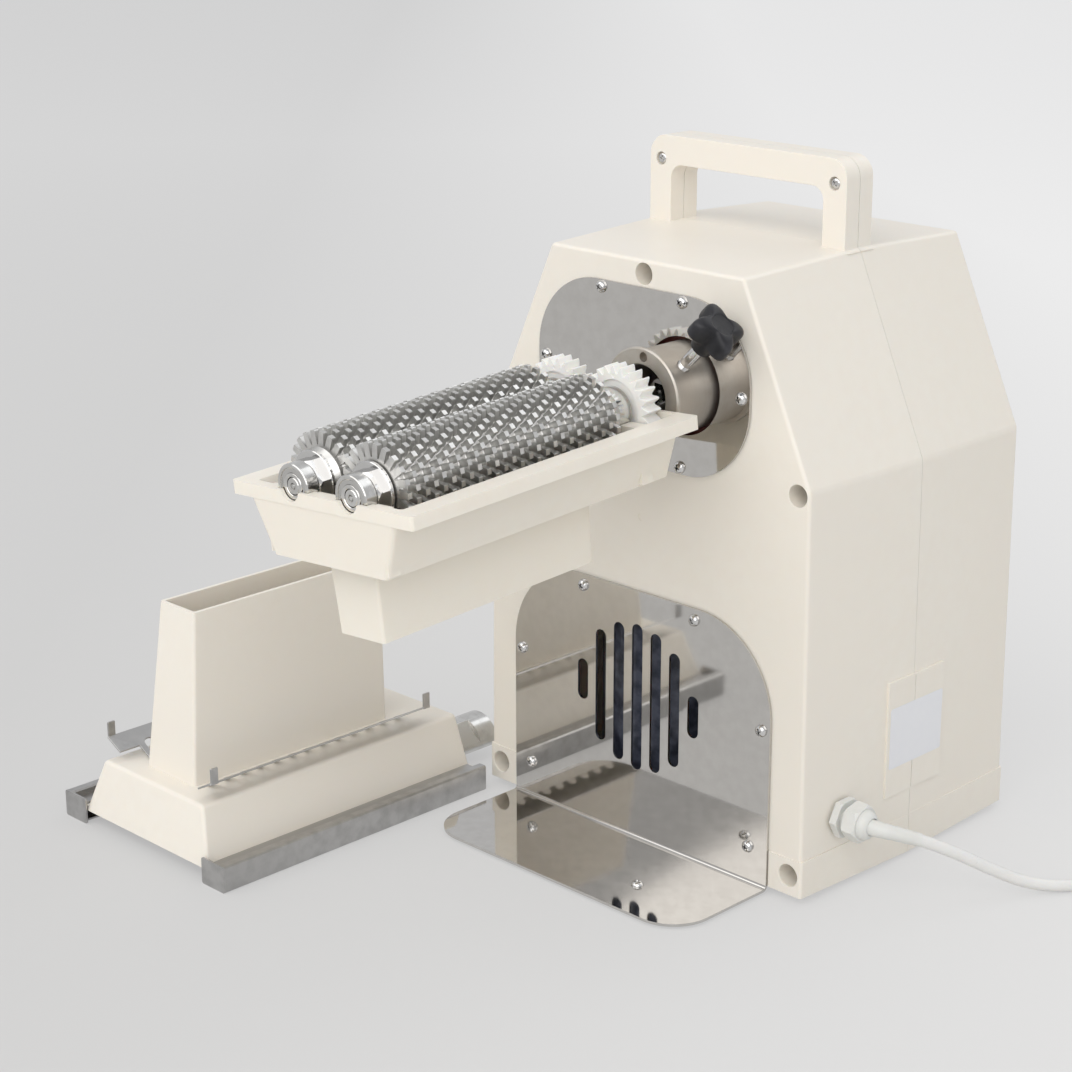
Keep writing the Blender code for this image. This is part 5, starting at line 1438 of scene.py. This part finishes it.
@dataclass
class Tray:
    """Open roller tray that plugs into the drive's socket.

    Attributes:
        middle: X halfway between the rollers.
        front: Y of its front wall.
        back: Y of its back wall.
        rim_half: Half its width over the rim.
        rim_top: Z of the rim's upper edge.
        rim_deep: Height of the rim.
        brim_half: Half its width inside the rim.
        floor: Z of its floor.
        floor_half: Half the width of its floor.
        wall: Wall thickness.
        chute_top: Half the chute's width at the floor, and Y of its front and back.
        chute_foot: The same at its lower end.
        shaft_top: The same for the room inside it, at the floor.
        shaft_foot: The same at its lower end.
    """

    middle: float = -24.5
    front: float = -270.2
    back: float = -44.7
    rim_half: float = 76.0
    rim_top: float = -2.2
    rim_deep: float = 8.0
    brim_half: float = 64.0
    floor: float = -42.4
    floor_half: float = 48.2
    wall: float = 3.0
    chute_top: Point3 = (20.0, -252.5, -83.6)
    chute_foot: Point3 = (18.7, -251.0, -84.6)
    shaft_top: Point3 = (17.5, -251.0, -85.1)
    shaft_foot: Point3 = (16.2, -248.5, -87.1)

    def _ring(self, half: float, front: float, back: float, level: float) -> list[Point3]:
        """Corners of a level rectangle about the tray's middle."""
        return box_ring(self.middle, half, front, back, level)

    def basin(self) -> None:
        """Build the tray itself."""
        wall, floor, top = self.wall, self.floor, self.rim_top

        def upright(a: Vector, b: Vector) -> bool:
            """Whether an edge climbs."""
            return abs(a.z - b.z) > 2.0

        outer = Shape("Roller_Basin").loft(
            [
                self._ring(self.floor_half, self.front + 2, self.back, floor),
                self._ring(self.brim_half, self.front, self.back, top),
            ]
        )
        outer.soften(3.0, upright)
        rim_low = self._ring(self.rim_half, self.front, self.back, top - self.rim_deep)
        rim = Shape("Basin_rim").loft([rim_low, self._ring(self.rim_half, self.front, self.back, top)])
        outer.join(rim.soften(2.2, upright))
        chute = Shape("Basin_chute").loft(
            [self._ring(*self.chute_foot, -89.3), self._ring(*self.chute_top, floor + 1.0)]
        )
        outer.join(chute.soften(2.0, upright))
        slope = 2 * (self.brim_half - self.floor_half) / (top - floor)
        inside = self._ring(self.brim_half - wall + slope, self.front + 7.0, self.back - wall, top + 2)
        low = self._ring(self.floor_half - wall, self.front + 2 + wall, self.back - wall, floor + wall)
        outer.cut(Shape("Basin_room").loft([low, inside]).soften(2.2, upright))
        rings = [self._ring(*self.shaft_foot, -91.3), self._ring(*self.shaft_top, floor + wall + 1)]
        outer.cut(Shape("Chute_room").loft(rings).soften(1.4, upright))
        saddles = Shape("Saddles").box((self.middle - 50, -267.8, floor + 1.5), (self.middle + 50, -259.4, top - 1.0))
        saddles.box((self.middle - 52, -71.5, floor + 1.5), (self.middle + 52, -62.0, top - 4.0))
        outer.join(saddles)
        seats = Shape("Bearing_seats")
        for x in (0.0, 2 * self.middle):
            front_seat = [(0.0, -272.5), (8.4, -272.5), (8.0, -269.9), (8.0, -267.7), (13.3, -267.7), (13.3, -255.0)]
            seats.lathe([*front_seat, (0.0, -255.0)], (x, 0.0, 0.0))
            seats.lathe([(0.0, -76.0), (14.3, -76.0), (14.3, -55.0), (0.0, -55.0)], (x, 0.0, 0.0))
        seats.lathe([(0.0, -48.5), (12.6, -48.5), (12.6, -40.0), (0.0, -40.0)], (0.0, 0.0, 0.0))
        outer.cut(seats).round(0.45, 2, 38)
        outer.settle(Palette.warm_cream, ["Tray"], "cream_plastic", body="tray", place=TRAY)

    def spigot(self) -> None:
        """Build the half tube that enters the drive's socket."""
        outline = arc((0, 0), 16.8, 182, 358, 40) + arc((0, 0), 12.9, 358, 182, 36)
        tube = Shape("Tray_Stub").prism(outline, Axis.Y, -44.4, -14.0).round(0.5, 2, 50)
        look = Palette.turned("Tray_Stub_Steel", TRAY, ORIGIN)
        tube.settle(look, ["Tray_Spigot"], "stainless_steel", body="tray", place=TRAY)

    def bearings(self) -> None:
        """Build the four ball bearings."""
        for tag, x in (("A", 0.0), ("B", 2 * self.middle)):
            look = Palette.turned(f"Race_Steel_{tag}", TRAY, (x, 0.0, 0.0), 0.0002)
            for word, radius, low, high in (("Front", 13.0, -267.35, -259.4), ("Rear", 14.0, -72.0, -60.7)):
                profile = [
                    (5.3, high), (5.3, low + 0.4), (5.7, low), (7.4, low), (7.6, low + 0.2), (7.8, low + 0.7),
                    (8.6, low + 0.9), (10.0, low + 0.9), (10.5, low + 0.6), (10.7, low + 0.1), (10.9, low),
                    (radius - 0.5, low), (radius, low + 0.5), (radius, high - 0.5), (radius - 0.5, high),
                    (10.9, high), (10.5, high - 0.7), (7.8, high - 0.7), (7.5, high), (5.3, high),
                ]
                race = Shape(f"{word}_Race_{tag}").lathe(profile, (x, 0.0, 0.0), steps=72)
                race.settle(look, [f"{word}_Bearing_{tag}"], "stainless_steel", body="tray", place=TRAY, sharp=30)

    def build(self) -> None:
        """Build the tray, its spigot and its bearings."""
        self.basin()
        self.spigot()
        self.bearings()


@dataclass
class Roller:
    """Shaft with toothed discs, a nut and a gear.

    Attributes:
        tag: A for the driven one, B for the other.
        x: X of its axis.
        offset: How far its discs are set back.
        shaft_end: Y of the shaft's inner end.
        hand: Direction in which its discs are turned on, 1 or -1.
        discs: Number of discs.
        teeth: Number of teeth on a disc.
        pitch: Distance between discs.
        thick: Thickness of a disc.
        tip: Radius over the teeth.
        root: Radius between the teeth.
        core: Radius of the spacers.
        first: Y of the first disc.
        gear_teeth: Number of teeth on the gear.
    """

    tag: str
    x: float
    offset: float
    shaft_end: float
    hand: int
    discs: int = 26
    teeth: int = 22
    pitch: float = 6.5
    thick: float = 3.0
    tip: float = 26.6
    root: float = 18.6
    core: float = 19.6
    first: float = -249.6
    gear_teeth: int = 24

    @property
    def body(self) -> str:
        """Name of the body that it rides."""
        return "roller_" + self.tag.lower()

    def _disc(self, turn: float) -> list[Point2]:
        """Outline of one disc.

        Args:
            turn: Its turn, in degrees.

        Returns:
            The outline about the roller's axis.
        """
        outline = []
        for index in range(self.teeth):
            middle = math.radians(turn) + 2 * math.pi * index / self.teeth
            for radius, half in ((self.root, -1.95), (self.tip - 0.5, -2.0), (self.tip, -1.7)):
                swing = middle + half / radius
                outline.append((self.x + radius * math.cos(swing), radius * math.sin(swing)))
            for radius, half in ((self.tip, 1.5), (self.tip - 0.9, 1.9), (self.root, 2.5)):
                swing = middle + half / radius
                outline.append((self.x + radius * math.cos(swing), radius * math.sin(swing)))
        return outline

    def blades(self) -> None:
        """Build the stack of toothed discs on its spacers."""
        stack = Shape(f"Tenderising_Discs_{self.tag}")
        step = self.hand * 360.0 / self.teeth * 0.42
        profile = [(5.3, self.first - 0.5), (15.0, self.first - 0.5)]
        for index in range(self.discs):
            start = self.first + self.offset + index * self.pitch
            stack.prism(self._disc(index * step), Axis.Y, start, start + self.thick)
            profile += [(self.core, start + self.thick + 0.2), (self.core - 0.4, start + self.thick + 0.7)]
            profile += [(self.core - 0.4, start + self.pitch - 0.7), (self.core, start + self.pitch - 0.2)]
        profile = [point for point in profile if point[1] < -73.0] + [(15.0, -72.4), (5.3, -72.4)]
        stack.lathe([*profile, profile[0]], (self.x, 0.0, 0.0), steps=40)
        stack.settle(Palette.blade, [f"Blades_{self.tag}"], "stainless_steel", body=self.body, place=TRAY, sharp=30)

    def fittings(self) -> None:
        """Build the shaft, the nut with its washer and the gear."""
        tag, x, end = self.tag, self.x, self.shaft_end
        bright = Palette.turned(f"Shaft_Steel_{tag}", TRAY, (x, 0.0, 0.0), 0.0003)
        profile = [(0.0, -267.2), (1.2, -267.2), (1.7, -266.2), (2.1, -267.2), (4.5, -267.2), (5.0, -266.7)]
        shaft = Shape(f"Roller_Shaft_{tag}").lathe([*profile, (5.0, end - 0.5), (4.6, end), (0.0, end)], (x, 0, 0))
        if tag == "A":
            shaft.join(Shape("Square").box((x - 3.0, end - 4.0, -3.0), (x + 3.0, end + 9.0, 3.0)))
        shaft.settle(bright, [f"Shaft_{tag}"], "stainless_steel", body=self.body, place=TRAY, sharp=30)
        nut = Shape(f"Clamp_Nut_{tag}").prism(ring((x, 0), 24 / math.sqrt(3), 6, 8), Axis.Y, -258.6, -252.6)
        cone = [(0.0, -258.8), (11.4, -258.8), (14.2, -256.7), (14.2, -252.0), (0.0, -252.0)]
        nut.keep(Shape("Nut_cone").lathe(cone, (x, 0.0, 0.0)))
        washer = [(0.0, -252.8), (16.6, -252.8), (17.0, -252.4), (17.0, -250.8), (16.6, -250.4), (0.0, -250.4)]
        nut.join(Shape("Washer").lathe(washer, (x, 0.0, 0.0)))
        bore = [(0.0, -260.0), (6.3, -260.0), (5.3, -258.0), (5.3, -248.0), (0.0, -248.0)]
        nut.cut(Shape("Nut_bore").lathe(bore, (x, 0.0, 0.0))).round(0.18, 1, 50)
        nut.settle(Palette.chrome, [f"Nut_{tag}"], "stainless_steel", body=self.body, place=TRAY, sharp=30)
        self._gear()

    def _gear(self) -> None:
        """Build the white gear with its hub and its recessed web."""
        turn = 0.0 if self.tag == "A" else math.pi / self.gear_teeth
        outline = []
        for index in range(self.gear_teeth):
            middle = turn + 2 * math.pi * index / self.gear_teeth
            flank = ((21.4, -2.35), (22.9, -1.75), (24.6, -1.15), (25.8, -0.55), (26.0, -0.25))
            for radius, half in (*flank, *((size, -width) for size, width in reversed(flank))):
                swing = middle + half / radius
                outline.append((self.x + radius * math.cos(swing), radius * math.sin(swing)))
        gear = Shape(f"Nylon_Gear_{self.tag}").prism(outline, Axis.Y, -60.4, -48.8)
        tools = Shape("Gear_recess")
        tools.lathe([(9.5, -61.4), (17.8, -61.4), (17.4, -58.8), (9.9, -58.8), (9.5, -61.4)], (self.x, 0, 0))
        tools.lathe([(9.9, -50.4), (17.4, -50.4), (17.8, -47.8), (9.5, -47.8), (9.9, -50.4)], (self.x, 0, 0))
        tools.lathe([(0.0, -64.0), (5.3, -64.0), (5.3, -45.0), (0.0, -45.0)], (self.x, 0.0, 0.0))
        tools.lathe([(0.0, -61.0), (1.1, -61.0), (1.1, -60.0), (0.0, -60.0)], (self.x, 0.0, 20.0), steps=24)
        gear.cut(tools).round(0.22, 1, 50)
        gear.settle(Palette.nylon, [f"Gear_{self.tag}"], "white_nylon", body=self.body, place=TRAY, sharp=30)

    def build(self) -> None:
        """Build the roller."""
        self.blades()
        self.fittings()


@dataclass
class FeedHood:
    """Hood that stands apart, with its stripper combs, clip rails and spigot.

    Attributes:
        x: X of its middle.
        front: Y of its front.
        back: Y of its back.
        base: Z of its lower edge.
        half: Half its width at the foot.
        flange_half: Half its width over the flanges.
        deck: Z of the deck.
        deck_half: Half the width of the deck.
        wall: Wall thickness.
        top: Z of the funnel's mouth.
        funnel_foot: Half the funnel's width at its foot, and its insets from the hood's front and back.
        funnel_mouth: The same at its mouth.
        comb_foot: Distance of a comb's finger tips from the middle.
        comb_slope: Slope of a comb, in degrees.
        comb_width: Width of a comb up its slope.
        fingers: Number of a comb's fingers.
    """

    x: float = -214.6
    front: float = -344.4
    back: float = -115.7
    base: float = 4.2
    half: float = 65.7
    flange_half: float = 76.0
    deck: float = 41.4
    deck_half: float = 52.9
    wall: float = 2.8
    top: float = 155.1
    funnel_foot: Point3 = (25.4, 22.8, 40.7)
    funnel_mouth: Point3 = (17.9, 34.3, 36.2)
    comb_foot: float = 30.5
    comb_slope: float = 27.5
    comb_width: float = 28.2
    fingers: int = 13

    def _ring(self, half: float, front: float, back: float, level: float) -> list[Point3]:
        """Corners of a level rectangle about the hood's middle."""
        return box_ring(self.x, half, front, back, level)

    def _funnel(self, size: Point3, inset: float, level: float) -> list[Point3]:
        """Corners of the funnel at a level, this far inside its outer surface."""
        half, ahead, behind = size
        return self._ring(half - inset, self.front + ahead + inset, self.back - behind - inset, level)

    def chute(self) -> None:
        """Build the base, its flanges and the tall funnel."""
        wall = self.wall

        def upright(a: Vector, b: Vector) -> bool:
            """Whether an edge climbs."""
            return abs(a.z - b.z) > 2.0

        hood = Shape("Feed_Chute").loft(
            [
                self._ring(self.half, self.front, self.back, self.base),
                self._ring(self.deck_half, self.front + 8.2, self.back - 1.3, self.deck),
            ]
        )
        hood.soften(2.6, lambda a, b: upright(a, b) or min(a.z, b.z) > self.deck - 0.1)
        flange = self._ring(self.flange_half, self.front + 1.0, self.back - 1.0, self.base)
        raised = [(x, y, z + 3.0) for x, y, z in flange]
        hood.join(Shape("Flange").loft([flange, raised]).soften(1.2, upright))
        foot = self._funnel(self.funnel_foot, 0.0, self.deck - 1.0)
        mouth = self._funnel(self.funnel_mouth, 0.0, self.top)
        hood.join(Shape("Funnel").loft([foot, mouth]).soften(2.4, upright))
        low = self._ring(self.half - wall + 0.4, self.front + wall - 0.4, self.back - wall, self.base - 1.0)
        high = self._ring(self.deck_half - wall, self.front + 8.2 + wall, self.back - 1.3 - wall, self.deck - wall)
        hood.cut(Shape("Hood_room").loft([low, high]).soften(1.4, upright))
        low = self._funnel(self.funnel_foot, wall, self.deck - 5.0)
        high = self._funnel(self.funnel_mouth, wall, self.top + 2.0)
        hood.cut(Shape("Funnel_room").loft([low, high]).soften(1.4, upright)).round(0.5, 2, 38)
        hood.settle(Palette.cream, ["Hood"], "cream_plastic", body="hood")

    def spigot(self) -> None:
        """Build the half tube at the hood's back with its milled flat."""
        centre = (self.x + 28.0, self.base)
        outline = arc(centre, 18.6, 0, 180, 44) + arc(centre, 12.9, 180, 0, 36)
        tube = Shape("Hood_Stub").prism(outline, Axis.Y, self.back + 0.3, self.back + 45.0)
        flat = Shape("Stub_flat")
        spot = Matrix.Translation((centre[0], self.back + 20.0, centre[1])) @ Matrix.Rotation(math.radians(45), 4, "Y")
        spot = spot @ Matrix.Translation((0.0, 0.0, 21.0)) @ Matrix.Diagonal((26.0, 18.0, 9.6, 1.0))
        bmesh.ops.create_cube(flat.bm, size=1.0, matrix=spot)
        tube.cut(flat).round(0.4, 2, 40)
        look = Palette.turned("Hood_Stub_Steel", DRIVE, (centre[0], 0.0, centre[1]))
        tube.settle(look, ["Hood_Spigot"], "stainless_steel", body="hood")

    def comb(self, side: int, name: str, body: str) -> None:
        """Build one stripper comb.

        Args:
            side: 1 for the right one, -1 for the left one.
            name: Which side it is on.
            body: The body that it rides.
        """
        near, far, deck = self.front + 13.4, self.back - 27.3, self.deck + 0.4
        lean, rise = math.cos(math.radians(self.comb_slope)), math.sin(math.radians(self.comb_slope))
        outline = [(near, 13.0), (near, self.comb_width), (far, self.comb_width), (far, 13.0), (far - 7.0, 13.0)]
        pitch = (far - near - 14.0) / self.fingers
        tip = near
        for index in range(self.fingers):
            y = far - 7.0 - pitch * (index + 1)
            tip = y + pitch - 4.6
            outline += [(y + pitch, 0.5), (y + pitch - 0.5, 0.0), (tip + 0.5, 0.0), (tip, 0.5)]
            if index < self.fingers - 1:
                bend = ((tip + y) / 2, 17.0 - (tip - y) / 2)
                outline += arc(bend, (tip - y) / 2, 0, 180, 8)
        outline += [(tip, 13.0)]

        def at(y: float, width: float, depth: float) -> Point3:
            """The point of the sheet at a place along it, up its slope and through it."""
            x = self.x + side * (self.comb_foot + lean * width - rise * depth)
            return (x, y, deck + rise * width + lean * depth)

        sheet = Shape(f"Stripper_Comb_{name}").loft([[at(y, u, depth) for y, u in outline] for depth in (0.0, 1.2)])
        edge = at(0.0, self.comb_width, 0.0)
        tabs = Shape("Comb_tabs")
        for low, high in ((near + 0.6, near + 6.2), (far - 6.2, far - 0.6)):
            start, end = sorted((edge[0] - side * 1.0, edge[0] + side * 0.3))
            outline_tab = [(low, edge[2] - 0.4), (high, edge[2] - 0.4), (high, edge[2] + 10.4)]
            outline_tab += [(high - 0.4, edge[2] + 10.8), (low + 0.4, edge[2] + 10.8), (low, edge[2] + 10.4)]
            tabs.prism(outline_tab, Axis.X, start, end)
        sheet.join(tabs).round(0.18, 1, 50)
        sheet.settle(Palette.satin, [f"Comb_{name}"], "stainless_steel", body=body, sharp=30)

    def rail(self, side: int, name: str, body: str) -> None:
        """Build one clip rail.

        Args:
            side: 1 for the right one, -1 for the left one.
            name: Which side it is on.
            body: The body that it rides.
        """
        inner, outer, low, high, seat = 66.8, 85.6, -4.88, 13.0, self.base + 3.3
        outline = [
            (inner, seat), (inner, seat + 1.2), (outer - 7.0, seat + 1.2), (outer - 7.0, high - 1.0),
            (outer - 6.0, high), (outer - 1.0, high), (outer, high - 1.0), (outer, low + 1.0), (outer - 1.0, low),
            (inner, low), (inner, low + 1.2), (outer - 1.2, low + 1.2), (outer - 1.2, high - 1.2),
            (outer - 5.8, high - 1.2), (outer - 5.8, seat),
        ]
        section = [(self.x + side * u, z) for u, z in outline]
        channel = Shape(f"Clip_Rail_{name}").prism(section, Axis.Y, self.front - 1.4, self.back - 4.0)
        start, end = sorted((self.x + side * (inner - 4.0), self.x + side * (outer + 0.15)))
        tab = soft_rect(((start + end) / 2, 4.1), end - start, 18.1, 1.6, 4)
        channel.join(Shape("Tab").prism(tab, Axis.Y, self.front - 2.0, self.front - 0.8)).round(0.22, 2, 50)
        channel.settle(Palette.satin, [f"Rail_{name}"], "stainless_steel", body=body, sharp=30)

    def build(self) -> None:
        """Build the hood and all that is clipped to it."""
        self.chute()
        self.spigot()
        for side, name in ((1, "Right"), (-1, "Left")):
            self.comb(side, name, "comb_" + name.lower())
            self.rail(side, name, "rail_" + name.lower())


@dataclass
class Studio:
    """Camera, pale floor with painted light on it, and soft light.

    Attributes:
        azimuth: Direction of the view, in degrees.
        elevation: Height of the view, in degrees.
        roll: Lean of the camera, in degrees.
        spot: Place of the camera.
        lens: Its focal length.
        floor_colour: Colour of the floor.
    """

    azimuth: float = 45.09
    elevation: float = 17.84
    roll: float = -0.13
    spot: Point3 = (1.0472, -1.0399, 0.6756)
    lens: float = 81.06
    floor_colour: Colour = (0.66, 0.655, 0.64)

    def camera(self) -> None:
        """Set the camera."""
        data = bpy.data.cameras.new("View")
        data.lens = self.lens
        data.sensor_width = 36.0
        data.clip_start, data.clip_end = 0.05, 30.0
        item = bpy.data.objects.new("View", data)
        bpy.context.scene.collection.objects.link(item)
        turn, lift = math.radians(self.azimuth), math.radians(self.elevation)
        back = Vector((math.sin(turn) * math.cos(lift), -math.cos(turn) * math.cos(lift), math.sin(lift)))
        right = Vector((0.0, 0.0, 1.0)).cross(back).normalized()
        frame_turn = Matrix((right, back.cross(right), back)).transposed().to_4x4()
        roll = Matrix.Rotation(math.radians(self.roll), 4, "Z")
        item.matrix_world = Matrix.Translation(self.spot) @ frame_turn @ roll
        bpy.context.scene.camera = item

    def _matt_with_painted_light(self, name: str, colour: Colour, painted_light_colour: Colour, share: float) -> bpy.types.Material:
        """A stage material that glows with painted light: a set colour shown to the camera and in reflections, mixed
        over its lit colour.

        Args:
            name: Its name.
            colour: Colour that it reflects.
            painted_light_colour: Colour of the painted light that it shows to the camera and in reflections.
            share: Share of that painted light.
            share: Share of that shown colour.

        Returns:
            The material.
        """
        look = bpy.data.materials.new(name)
        look.use_nodes = True
        tree = look.node_tree
        shader = tree.nodes["Principled BSDF"]
        graph = Graph(tree)
        spot = graph.spot()
        cloud = graph.math("MULTIPLY", graph.noise(spot, 3.0, 2.0), 0.25)
        tone = graph.mix(cloud, (*colour, 1.0), (*(c * 0.97 for c in colour), 1.0))
        tree.links.new(tone, shader.inputs["Base Color"])
        shader.inputs["Roughness"].default_value = 0.85
        shader.inputs["Specular IOR Level"].default_value = 0.2
        ray = graph.add("ShaderNodeLightPath")
        direct = graph.math("MAXIMUM", ray.outputs["Is Camera Ray"], ray.outputs["Is Glossy Ray"])
        # Painted light: the glowing tone seen by the camera and in reflections gets paler from the left of the set to
        # its right, and with the distance behind it. It stands in for the light that falls on the floor.
        across = graph.vector("DOT_PRODUCT", spot, (0.707, 0.707, 0.0)).outputs["Value"]
        away = graph.vector("DOT_PRODUCT", spot, (-0.707, 0.707, 0.0)).outputs["Value"]
        painted_gradient = graph.math("ADD", graph.span(across, -0.4, 0.7, 0.0, 0.75), graph.span(away, 0.2, 3.0, 0.0, 0.4))
        painted_light_tone = graph.mix(painted_gradient, (*(c * 0.79 for c in painted_light_colour), 1.0), (*(c * 1.32 for c in painted_light_colour), 1.0))
        # Painted light: for camera and glossy rays the floor glows with this tone instead of only showing its lit
        # colour.
        painted_glow = graph.add("ShaderNodeEmission", {"Color": painted_light_tone, "Strength": 1.0})
        blend = graph.add("ShaderNodeMixShader", {0: graph.math("MULTIPLY", direct, share)})
        tree.links.new(shader.outputs[0], blend.inputs[1])
        tree.links.new(painted_glow.outputs[0], blend.inputs[2])
        tree.links.new(blend.outputs[0], tree.nodes["Material Output"].inputs["Surface"])
        return look

    def stage(self) -> None:
        """Lay the floor, which shows painted light."""
        bm = bmesh.new()
        bmesh.ops.create_grid(bm, x_segments=1, y_segments=1, size=14.0)
        mesh = bpy.data.meshes.new("Floor")
        bm.to_mesh(mesh)
        bm.free()
        # The floor glows with a painted gradient of light for the camera and in reflections, over its lit colour.
        mesh.materials.append(self._matt_with_painted_light("Floor_Painted_Light", self.floor_colour, (0.77, 0.77, 0.775), 0.6))
        item = bpy.data.objects.new("Floor", mesh)
        bpy.context.scene.collection.objects.link(item)

    def lights(self) -> None:
        """Hang the soft lamps and set the world."""
        world = bpy.data.worlds.new("Room")
        world.use_nodes = True
        bpy.context.scene.world = world
        room = world.node_tree.nodes["Background"]
        room.inputs["Color"].default_value = (0.98, 0.985, 1.0, 1.0)
        room.inputs["Strength"].default_value = 0.67
        lamps = (
            ("Key", (-0.9, -2.3, 2.6), 3.3, 32.0, (1.0, 0.975, 0.94)),
            ("Fill", (1.7, -2.2, 1.9), 3.3, 44.0, (1.0, 0.985, 0.965)),
            ("Back", (0.6, 2.4, 2.6), 2.6, 14.0, (0.96, 0.98, 1.0)),
        )
        for name, spot, size, power, colour in lamps:
            data = bpy.data.lights.new(name, "AREA")
            data.shape = "DISK"
            data.size = size
            data.energy = power
            data.color = colour
            item = bpy.data.objects.new(name, data)
            item.location = spot
            item.rotation_euler = (Vector((0.05, -0.05, 0.2)) - Vector(spot)).to_track_quat("-Z", "Y").to_euler()
            bpy.context.scene.collection.objects.link(item)
        bpy.context.scene.view_settings.view_transform = "Standard"

    def build(self) -> None:
        """Set up the studio."""
        self.camera()
        self.stage()
        self.lights()


def sizes(low: Iterable[float], high: Iterable[float]) -> list[list[float]]:
    """A box as plain lists of numbers."""
    return [[float(value) for value in low], [float(value) for value in high]]


def main() -> None:
    """Build the studio and every sub-assembly."""
    logging.basicConfig(level=logging.INFO, format="%(message)s")
    Studio().build()
    lead = Lead()
    lead.cord()
    lead.gland()
    Housing().build()
    Plates().build()
    DriveLine().build()
    Switch().build()
    Tray().build()
    Roller("A", 0.0, 0.0, -27.0, 1).build()
    Roller("B", -49.0, 3.25, -48.3, -1).build()
    FeedHood().build()


if __name__ == "__main__":
    main()
